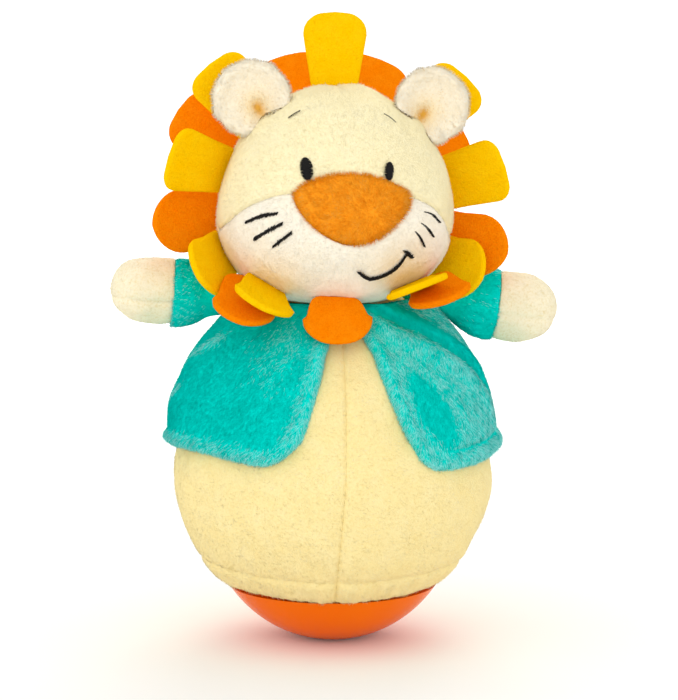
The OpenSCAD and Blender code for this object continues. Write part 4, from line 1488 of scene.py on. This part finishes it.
        def place(d: Array) -> Array:
            away = np.arccos(np.clip(np.abs(d[:, 2]), 0, 1)) / (np.pi / 2)
            a = np.degrees(np.arctan2(d[:, 1], d[:, 0]))
            share = np.sin(away * np.pi / 2) ** 0.9
            r = self.nose_reach(a) * share
            x = self.nose_across + r * np.cos(np.radians(a))
            z = self.nose_height + r * np.sin(np.radians(a))
            puffed = self.nose_puff * (1 - share**2.6) - 0.9 * dip(1 - share, 0.05)
            out = np.where(d[:, 2] >= 0, puffed, -self.plush)
            return self.form.on_front(x, z, out)

        def comb(p: Array, n: Array) -> Array:
            way = p - self.form.put(np.array([[self.nose_across, -self.form.front, self.nose_height - 2]]))
            far = np.clip(np.linalg.norm(way, axis=1, keepdims=True) / 12, 0.2, 1.4)
            return unit(way) * far + np.array([-0.5, 0, 0.25])

        piece = puff("nose_plush", 96, 48, place, [NOSE_PLUSH.ground()])
        front = self.form.put(np.zeros((1, 3)))[0][1] - self.form.front

        def rim(p: Array) -> Array:
            q = p - self.form.put(np.array([[self.nose_across, 0.0, self.nose_height]]))
            share = np.hypot(q[:, 0], q[:, 2]) / self.nose_reach(np.degrees(np.arctan2(q[:, 2], q[:, 0])))
            return smooth((share - 0.86) * 8)

        def trim(p: Array) -> Array:
            return np.where(p[:, 1] > front + 19, 0.0, 1.0 + 0.35 * rim(p))

        inflate(piece, rim, most=0.5)
        fur = Pile(1.8, 0.2, 9, 0.74, clump=4, unrest=0.2, spread=0.1, most=17000, drift=0.1, gloss=0.25, even=1.0)
        pile = fur.grow(
            piece, NOSE_PLUSH.fibres(), comb, 420, trim=trim, stand=lambda p: 0.7 * rim(p)
        )
        settle(piece, TOY, "nose_plush", "nose", pile=pile)
        return piece

    def stuffing(self) -> None:
        """Filling layer inside the head."""
        fill = wadding("head_fill")

        def place(d: Array) -> Array:
            w = 180 - np.degrees(np.arccos(np.clip(d[:, 2], -1, 1))) * (166 / 180)
            t = np.degrees(np.arctan2(d[:, 1], d[:, 0]))
            p = self.form.at(w, t, 0.0)
            return self.form.at(w, t, -2.9 - 0.3 * (1 + waves(p, 9, 55)[:, 0]))

        settle(puff("head_wadding_fill", 64, 44, place, [fill]), TOY, "wadding", "head_wadding")

    def build(self) -> None:
        """Makes the head's cloth and filling."""
        self.panel(False)
        self.panel(True)
        self.back()
        self.nose()
        self.stuffing()


@dataclass
class Ear:
    """Fuzzy cupped ear on the upper side of the head, pinched where it is sewn in."""

    form: HeadForm
    side: int
    radius: float = 15.5
    thick: float = 5.0
    hollow: float = 4.0
    degrees: float = 37.0
    out_share: float = 0.55
    ahead_share: float = 0.17
    turn: float = 8.0
    tuck: float = 0.6
    dimple: float = 4.4

    def build(self) -> None:
        """Makes the ear and its fur."""
        a = math.radians(self.degrees)
        d = np.array([[self.side * math.sin(a), 0, math.cos(a)]])
        at = d * (self.form.reach(d) + self.radius * self.out_share - self.tuck)
        centre = np.array([at[0, 0], -self.form.front * self.ahead_share, at[0, 2]])
        inwards = np.array([-d[0, 0], 0.0, -d[0, 2]])

        def place(q: Array) -> Array:
            away = np.arccos(np.clip(np.abs(q[:, 1]), 0, 1)) / (np.pi / 2)
            angle = np.arctan2(q[:, 2], q[:, 0])
            share = np.sin(away * np.pi / 2)
            r = (self.radius - 0.6) * share
            rim = np.sqrt(np.clip(1 - share**6, 0, 1))
            p = stack(r * np.cos(angle), 0 * r, r * np.sin(angle))
            into = (p @ inwards) / self.radius
            beside = np.abs(p @ np.array([inwards[2], 0, -inwards[0]]))
            cup = self.hollow * (1 - share**2)
            ahead = into * self.radius - self.dimple
            from_fold = np.hypot(beside, np.where(ahead > 0, ahead * 0.45, ahead))
            pinch = 2.6 * dip(from_fold, 3.2) - 1.7 * smooth((ahead - 1) / 5)
            half = self.thick / 2 * rim + 0.9 * dip(share - 0.82, 0.16) * (q[:, 1] < 0)
            p[:, 1] = cup + np.where(q[:, 1] < 0, pinch - half, half)
            p[:, [0, 2]] += 0.25 * waves(p, 11, 61 + self.side)[:, [0, 2]] * share[:, None]
            b = math.radians(self.side * self.turn)
            c, s = math.cos(b), math.sin(b)
            p = stack(p[:, 0] * c - p[:, 1] * s, p[:, 0] * s + p[:, 1] * c, p[:, 2])
            p = p + centre
            deep = np.linalg.norm(p, axis=1) / (self.form.reach(unit(p)) + 0.3)
            p = p / np.minimum(deep, 1)[:, None]
            return self.form.put(p)

        def turned_ball(q: Array) -> Array:
            return place(q[:, [0, 2, 1]])

        word = "left" if self.side < 0 else "right"
        piece = puff(f"ear_{word}_plush", 72, 56, turned_ball, [EAR_CLOTH.ground()])
        middle = self.form.put(centre[None, :])[0]

        def comb(p: Array, n: Array) -> Array:
            way = p - middle
            way[:, 2] -= 3
            return way

        def trim(p: Array) -> Array:
            share = np.linalg.norm((p - middle)[:, [0, 2]], axis=1) / self.radius
            return 0.7 + 0.5 * smooth((share - 0.5) * 2)

        def fringe(p: Array) -> Array:
            share = np.linalg.norm((p - middle)[:, [0, 2]], axis=1) / self.radius
            return 0.6 * smooth((share - 0.84) * 8)

        fold = self.form.put((centre + inwards * self.dimple)[None, :])[0]
        towards = self.form.turn(inwards[None, :])[0]

        # Painted amber shade: strongest in the pinched fold, fading round it, on the front side only.
        def painted_fold_shade(p: Array) -> Array:
            q = p - fold
            along = q @ towards
            beside = np.linalg.norm(q[:, [0, 2]] - along[:, None] * towards[[0, 2]], axis=1)
            shown = smooth((middle[1] + 6.0 - p[:, 1]) / 1.5)
            core = 0.5 * dip(np.hypot(beside, np.where(along > 0, along * 0.35, along)), 1.9)
            return shown * np.clip(core + 0.5 * dip(np.hypot(beside, along * 0.9), 6.4), 0, 0.95)

        points = np.array([v.co[:] for v in piece.data.vertices]) / MM
        piece.data.attributes.new("glow", "FLOAT", "POINT").data.foreach_set("value", painted_fold_shade(points).astype(np.float32))
        inflate(piece, lambda p: smooth(((p - middle) @ towards - 3) / 5) + (painted_fold_shade(p) > 0.3), most=0.6)
        # Amber deep fibres grow only where the painted fold shade is.
        pile = Pile(1.5, 0.17, 7, 0.6, clump=6, unrest=0.25, spread=0.2, most=16000, drift=0.05, even=0.8).grow(
            piece, EAR_PLUSH.fibres(), comb, 500 + self.side, trim=trim, deep=painted_fold_shade, stand=fringe
        )
        settle(piece, TOY, "ear_plush", f"ear_{word}", pile=pile)


class Feature(enum.Enum):
    """Embroidered features of the face."""

    BROWS = "eyebrows"
    WHISKERS = "whiskers"
    MOUTH = "mouth"


@dataclass
class Embroidery:
    """Satin stitches in black thread: each stitch is a small rounded float on the cloth."""

    form: HeadForm
    thread: float = 0.5
    lift: float = 0.75
    eyes: tuple[tuple[float, ...], ...] = ((-15.8, 22.3, 2.5, 4.2, 8.0), (15.6, 22.5, 1.95, 3.4, -4.0))
    lines: dict[Feature, list[tuple[float, float, list[tuple[float, float]]]]] = field(
        default_factory=lambda: {
            Feature.BROWS: [
                (0.15, 0.22, [(-0.463, 0.754), (-0.417, 0.783), (-0.37, 0.808)]),
                (0.12, 0.18, [(0.311, 0.809), (0.362, 0.785), (0.408, 0.752)]),
            ],
            Feature.WHISKERS: [
                (1.75, 0.55, [(-0.786, 0.009), (-0.677, 0.063), (-0.558, 0.092)]),
                (1.75, 0.55, [(-0.719, -0.104), (-0.62, -0.035), (-0.515, 0.024)]),
                (1.55, 0.55, [(-0.574, -0.145), (-0.516, -0.095), (-0.442, -0.035)]),
                (1.2, 0.46, [(0.644, 0.135), (0.719, 0.112), (0.798, 0.053)]),
                (1.15, 0.46, [(0.618, 0.055), (0.684, 0.013), (0.743, -0.047)]),
                (1.05, 0.42, [(0.57, -0.004), (0.62, -0.05), (0.665, -0.115)]),
            ],
            Feature.MOUTH: [
                (
                    1.85,
                    0.55,
                    [
                        *((0.118, -0.297), (0.184, -0.339), (0.246, -0.348)),
                        *((0.363, -0.311), (0.448, -0.25), (0.501, -0.176)),
                    ],
                ),
                (2.3, 0.55, [(0.497, -0.142), (0.53, -0.168), (0.559, -0.191)]),
            ],
        }
    )

    def material(self) -> bpy.types.Material:
        """Twisted black thread."""
        thread = Shader("black_thread", (14, 13, 12), Roughness=0.7, Specular_IOR_Level=0.2)
        twist = thread.noise(0.25, 2)
        thread.paint("Base Color", thread.ramp(twist, [(0.3, (7, 6, 6)), (0.7, (24, 22, 21))]))
        thread.bump(twist, 0.08)
        return thread.material

    def stitches(self, name: str, rows: list[tuple[float, ...]], material: bpy.types.Material) -> bpy.types.Object:
        """Lays stitches on the face.

        Args:
            name: Name of the piece.
            rows: Middle x and z, length, angle in degrees, height and thread of each stitch.
            material: The thread.

        Returns:
            The stitches as one piece.
        """
        bm = bmesh.new()
        for x, z, length, degrees, height, thread in rows:
            made = bmesh.ops.create_uvsphere(bm, u_segments=8, v_segments=8, radius=1)["verts"]
            q = np.array([v.co[:] for v in made])
            a = math.radians(degrees)
            along, across = q[:, 2] * (length / 2 + thread / 2), q[:, 0] * thread / 2
            up = q[:, 1] * thread * 0.45 + height * (1 - 0.5 * q[:, 2] ** 2)
            sx = x + along * math.cos(a) - across * math.sin(a)
            sz = z + along * math.sin(a) + across * math.cos(a)
            move_all(made, self.form.on_front(sx, sz, up))
        return to_object(bm, name, [material])

    def line_rows(
        self, width: float, thread: float, shares: list[tuple[float, float]], rng: np.random.Generator
    ) -> list[tuple[float, ...]]:
        """Slanted stitches along a line.

        Args:
            width: Width of the line.
            thread: Thickness of its thread.
            shares: Points as shares of the head's half width and top.
            rng: Source of chance.

        Returns:
            One row for each stitch.
        """
        pts = drawn(shares) * (self.form.half_width, self.form.top)
        steps = np.linalg.norm(np.diff(pts, axis=0), axis=1)
        run = np.concatenate([[0], np.cumsum(steps)])
        count = max(4, int(run[-1] / (thread * 0.95)))
        rows = []
        for s in np.linspace(0, run[-1], count):
            near = [np.interp([s - 0.6, s, s + 0.6], run, pts[:, k]) for k in (0, 1)]
            way = math.degrees(math.atan2(near[1][2] - near[1][0], near[0][2] - near[0][0]))
            ends = 0.62 + 0.38 * min(1, 2.2 * min(s, run[-1] - s) / run[-1] + 0.25)
            long = width * ends * rng.uniform(0.72, 1.25)
            rows.append((near[0][1], near[1][1], long, way + 44 + rng.uniform(-14, 14), self.lift, thread))
        return rows

    def eye_rows(self, eye: tuple[float, ...], rng: np.random.Generator) -> list[tuple[float, ...]]:
        """Level stitches that fill an eye's oval."""
        x, z, half_w, half_h, lean = eye
        count = int(2 * half_h / (self.thread * 0.66))
        rows = []
        for i in range(count):
            h = ((i + 0.5) / count * 2 - 1) * 0.97
            wide = half_w * math.sqrt(1 - abs(h) ** 2.4)
            rise = h * half_h
            a = math.radians(lean)
            rows.append(
                (
                    x - rise * math.sin(a) + rng.uniform(-0.08, 0.08),
                    z + rise * math.cos(a),
                    max(0.3, 2 * wide - self.thread + rng.uniform(-0.15, 0.15)),
                    lean + rng.uniform(-5, 5),
                    self.lift + 0.45 * (1 - h * h),
                    self.thread,
                )
            )
        return rows

    def build(self) -> None:
        """Embroiders eyes, brows, whiskers and mouth."""
        material = self.material()
        rng = np.random.default_rng(7)
        for word, eye in zip(("left", "right"), self.eyes):
            piece = self.stitches(f"eye_{word}_stitches", self.eye_rows(eye, rng), material)
            settle(piece, TOY, "black_thread", f"eye_{word}")
        for feature, lines in self.lines.items():
            rows = [row for width, thread, shares in lines for row in self.line_rows(width, thread, shares, rng)]
            piece = self.stitches(f"{feature.value}_stitches", rows, material)
            settle(piece, TOY, "black_thread", feature.value)


@dataclass
class Mane:
    """Ring of felt petals in two colours, rooted in the head's side seam."""

    form: HeadForm
    length: float = 27.0
    root: float = 18.0
    tip: float = 25.0
    corner: float = 10.0
    felt: float = 2.6
    low: float = 35.0
    yellow: tuple[tuple[float, ...], ...] = (
        (92, 95, 92, 0, 1, 0),
        (49, 95, 49, -2, 0.95, 0),
        (18.8, 103.5, 21.4, 32.9, 0.99, 0),
        (-17.9, 104, -22.9, 51.1, 0.9, 0),
        (-39.9, 75.5, -67.4, 95.2, 0.97, 2.2),
        (-138.9, 64.8, -115, 75.6, 1, 0),
        (-161.8, 91.6, -144.4, 60.9, 0.96, 0),
        (157.8, 92.8, 166, 35.3, 1, 0),
        (131, 95, 131, -2, 1, 0),
    )
    orange: tuple[tuple[float, ...], ...] = (
        (73, 103, 73, -58, 0.9, 0),
        (35, 103, 35, -50, 0.9, 0),
        (-6.6, 105.2, -13.2, 27.9, 1, 0),
        (-28.7, 81, -71.1, 79.8, 1, 1.8),
        (-92.5, 48.0, -87, 39, 0.72, 0),
        (-147.9, 77.1, -100.5, 62.8, 0.97, 0),
        (-178.4, 104.6, -173.8, 21.4, 1, 0),
        (146.9, 105.7, 147.6, -9.6, 1, 0),
        (107, 103, 107, -58, 0.9, 0),
    )
    roots: dict[str, float] = field(
        default_factory=lambda: {
            "mane_orange_5": 21.0,
            "mane_yellow_3": 21.0,
            "mane_orange_3": 19.0,
            "mane_orange_7": 20.0,
        }
    )
    tips: dict[str, float] = field(default_factory=lambda: {"mane_orange_5": 27.0})
    soft: dict[str, float] = field(
        default_factory=lambda: {
            "mane_yellow_5": 4.0,
            "mane_yellow_6": 7.0,
            "mane_orange_4": 5.0,
            "mane_orange_6": 6.0,
            "mane_orange_5": 6.0,
        }
    )
    corners: dict[str, float] = field(
        default_factory=lambda: {
            **{f"mane_yellow_{i}": 6.0 for i in (2, 3, 8, 9)},
            **{f"mane_orange_{i}": 7.0 for i in (1, 2, 8, 9)},
            "mane_yellow_1": 7.5,
            **{f"mane_yellow_{i}": 12.4 for i in (4, 5, 6, 7)},
            **{f"mane_orange_{i}": 12.4 for i in (3, 4, 6, 7)},
            "mane_orange_5": 11.0,
        }
    )

    def root_gap(self, p: Array, out: Array) -> Array:
        """How far each point may go back along a petal until it meets the head."""
        back = np.zeros(len(p))
        for step in np.arange(0.0, 6.0, 0.1):
            q = p - out * step
            clear = np.linalg.norm(q, axis=1) - self.form.reach(unit(q)) > -0.4
            back = np.where(clear & (back >= step - 0.15), step, back)
        return back

    def petal(
        self, name: str, row: tuple[float, ...], finish: Felt, seed: int, materials: list[bpy.types.Material]
    ) -> None:
        """One petal.

        Args:
            name: CAD node that it stands for.
            row: Angle round the face, angle from the front, angle it points, lean forward, length share and
                distance drawn in.
            finish: Its felt.
            seed: Seed of its unrest.
            materials: Sheet, then the shades of the nap.
        """
        t, w, points, lean, share, close = row
        a, b = math.radians(t), math.radians(w)
        d = np.array([[math.sin(b) * math.cos(a), -math.cos(b), math.sin(b) * math.sin(a)]])
        base = d[0] * self.form.reach(d)[0]
        normal = self.form.normal(base[None, :])[0]
        q, e = math.radians(points), math.radians(lean)
        across = np.array([-math.sin(q), 0, math.cos(q)])
        out = np.array([math.cos(q) * math.cos(e), -math.sin(e), math.sin(q) * math.cos(e)])
        face = np.cross(across, out)
        half = self.root / 2
        dig = max(0.0, half * abs(across @ normal) - half * half / (2 * self.low))
        sink = self.felt / 2 * abs(face @ normal)
        start = base + out * (CLOTH_GAP + dig + sink) / (out @ normal) - normal * close
        long = self.length * share
        rng = np.random.default_rng(seed)
        bow, twist = rng.uniform(0.4, 1.2), rng.uniform(-0.5, 0.5)
        corner, root = self.corners.get(name, self.corner), self.roots.get(name, self.root)
        tip, soft = self.tips.get(name, self.tip), self.soft.get(name, 0.5)

        def place(u: Array, v: Array, right: Array) -> Array:
            u = 2 * crowd(u, 0.8) - 1
            v = crowd(v, 0.7)
            wide = mix(root / 2, tip / 2, np.minimum(1, v * 1.05) ** 0.8)
            x = u * wide
            over = np.clip(np.abs(u) * tip / 2 - tip / 2 + corner, 0, corner)
            end = long - corner + np.sqrt(corner**2 - over**2) + long / 30 * np.clip(1 - np.abs(u) * 1.3, 0, 1)
            back = self.root_gap(start + x[:, None] * across, out)
            near = np.clip(np.abs(u) * root / 2 - root / 2 + soft, 0, soft)
            cut = soft - np.sqrt(soft**2 - near**2)
            y = mix(cut, end, v) - back * np.clip(1 - 3 * v, 0, 1)
            rim = np.minimum((1 - np.abs(u)) * wide, (1 - v) * end)
            round_edge = np.sqrt(np.clip(1 - (1 - np.clip(rim / 1.5, 0, 1)) ** 2, 0.01, 1))
            bend = bow * (v**2 - 0.55 * u**2 * v) + twist * u * v
            h = (right - 0.5) * self.felt * round_edge + bend
            p = start + x[:, None] * across + y[:, None] * out + h[:, None] * -face
            return self.form.put(p)

        piece = slab(f"{name}_felt", 30, 32, place, [materials[0]])
        for polygon in piece.data.polygons:
            polygon.material_index = 0

        def comb(p: Array, n: Array) -> Array:
            return waves(p, 2.2, seed)

        nap = Pile(0.9, 0.15, 2.0, 0.62, clump=2, unrest=1.0, spread=0.18, most=2800)
        pile = nap.grow(piece, materials[1:], comb, seed)
        settle(piece, TOY, finish.slot, name, pile=pile)

    def build(self) -> None:
        """Cuts all the petals."""
        for word, rows, finish in (("yellow", self.yellow, YELLOW_FELT), ("orange", self.orange, ORANGE_FELT)):
            materials = [finish.sheet(), *finish.fibres()]
            for i, row in enumerate(rows, 1):
                self.petal(f"mane_{word}_{i}", row, finish, 600 + 10 * i + (word == "orange"), materials)


@dataclass
class Studio:
    """Pale floor, soft light and the camera."""

    distance: float = 1.2
    elevation: float = 7.8
    azimuth: float = -5.0
    target: tuple[float, float, float] = (0.0026, 0.0, 0.1162)
    lens: float = 154.3
    world: float = 0.9

    def camera(self) -> None:
        """Camera at the photograph's angle."""
        a, e = math.radians(self.azimuth), math.radians(self.elevation)
        back = Vector((math.sin(a) * math.cos(e), -math.cos(a) * math.cos(e), math.sin(e)))
        lens = bpy.data.cameras.new("camera")
        lens.lens = self.lens
        lens.sensor_width = 36
        lens.clip_end = 100
        camera = bpy.data.objects.new("camera", lens)
        camera.location = Vector(self.target) + back * self.distance
        camera.rotation_euler = (-back).to_track_quat("-Z", "Y").to_euler()
        bpy.context.scene.collection.objects.link(camera)
        bpy.context.scene.camera = camera

    def lamp(self, name: str, place: tuple[float, float, float], size: float, power: float, colour: Colour) -> None:
        """Square soft lamp that faces the toy.

        Args:
            name: Name of the lamp.
            place: Where it stands, in metres.
            size: Length of its side in metres.
            power: Power in watts.
            colour: Colour of its light.
        """
        light = bpy.data.lights.new(name, "AREA")
        light.size = size
        light.energy = power
        light.color = linear(colour)[:3]
        lamp = bpy.data.objects.new(name, light)
        lamp.location = place
        lamp.rotation_euler = (Vector(self.target) - Vector(place)).to_track_quat("-Z", "Y").to_euler()
        bpy.context.scene.collection.objects.link(lamp)

    def floor(self) -> None:
        """Large pale floor that keeps the shadow."""
        bm = bmesh.new()
        bmesh.ops.create_circle(bm, cap_ends=True, radius=40, segments=64)
        mesh = bpy.data.meshes.new("floor")
        bm.to_mesh(mesh)
        bm.free()
        pale = Shader("floor_paper", (244, 243, 241), Roughness=1.0, Specular_IOR_Level=0.0)
        tree = pale.tree
        path = tree.nodes.new("ShaderNodeLightPath")
        glow = tree.nodes.new("ShaderNodeEmission")
        glow.inputs["Color"].default_value = (1, 1, 1, 1)
        add = tree.nodes.new("ShaderNodeAddShader")
        place = tree.nodes.new("ShaderNodeTexCoord")
        far = tree.nodes.new("ShaderNodeVectorMath")
        far.operation = "LENGTH"
        scale = tree.nodes.new("ShaderNodeMapRange")
        scale.inputs["From Min"].default_value = 0.08
        scale.inputs["From Max"].default_value = 1.2
        scale.inputs["To Min"].default_value = 0.04
        scale.inputs["To Max"].default_value = 0.6
        seen = tree.nodes.new("ShaderNodeMath")
        seen.operation = "MULTIPLY"
        tree.links.new(place.outputs["Object"], far.inputs[0])
        tree.links.new(far.outputs["Value"], scale.inputs["Value"])
        tree.links.new(path.outputs["Is Camera Ray"], seen.inputs[0])
        tree.links.new(scale.outputs["Result"], seen.inputs[1])
        tree.links.new(seen.outputs[0], glow.inputs["Strength"])
        tree.links.new(pale.shader.outputs[0], add.inputs[0])
        tree.links.new(glow.outputs[0], add.inputs[1])
        tree.links.new(add.outputs[0], tree.nodes["Material Output"].inputs["Surface"])
        mesh.materials.append(pale.material)
        floor = bpy.data.objects.new("floor", mesh)
        bpy.context.scene.collection.objects.link(floor)

    def sky(self) -> None:
        """Even white surround; the camera and reflections see it white."""
        world = bpy.data.worlds.new("surround")
        world.use_nodes = True
        bpy.context.scene.world = world
        tree = world.node_tree
        back = tree.nodes["Background"]
        back.inputs["Color"].default_value = (1, 1, 1, 1)
        path = tree.nodes.new("ShaderNodeLightPath")
        seen = tree.nodes.new("ShaderNodeMath")
        seen.operation = "MAXIMUM"
        shine = tree.nodes.new("ShaderNodeMath")
        shine.operation = "MAXIMUM"
        strength = tree.nodes.new("ShaderNodeMapRange")
        strength.inputs["To Min"].default_value = self.world
        strength.inputs["To Max"].default_value = 1.0
        tree.links.new(path.outputs["Is Camera Ray"], seen.inputs[0])
        tree.links.new(path.outputs["Is Glossy Ray"], seen.inputs[1])
        tree.links.new(seen.outputs[0], shine.inputs[0])
        tree.links.new(path.outputs["Is Transmission Ray"], shine.inputs[1])
        tree.links.new(shine.outputs[0], strength.inputs["Value"])
        tree.links.new(strength.outputs[0], back.inputs["Strength"])

    def build(self) -> None:
        """Sets up floor, light and camera."""
        bpy.context.scene.view_settings.view_transform = "Standard"
        self.camera()
        self.floor()
        self.sky()
        self.lamp("key", (-1.1, -1.2, 1.0), 2.4, 8.4, (255, 252, 246))
        self.lamp("fill", (0.5, -1.6, 0.5), 1.3, 3.4, (255, 252, 246))
        self.lamp("rim", (0.3, 1.2, 1.1), 1.0, 8, (255, 252, 248))


def main() -> None:
    """Builds the toy piece by piece, then the studio."""
    logging.basicConfig(level=logging.INFO, format="%(name)s: %(message)s")
    body = Body()
    form = HeadForm()
    Rocker().dress()
    for side in (-1, 1):
        body.build(side)
    body.stuffing()
    jacket = Jacket(body)
    jacket.front(True)
    jacket.front(False)
    jacket.back()
    for side in (-1, 1):
        Arm(side).build()
    Head(form).build()
    for side in (-1, 1):
        Ear(form, side).build()
    Embroidery(form).build()
    Mane(form).build()
    Studio().build()


if __name__ == "__main__":
    main()
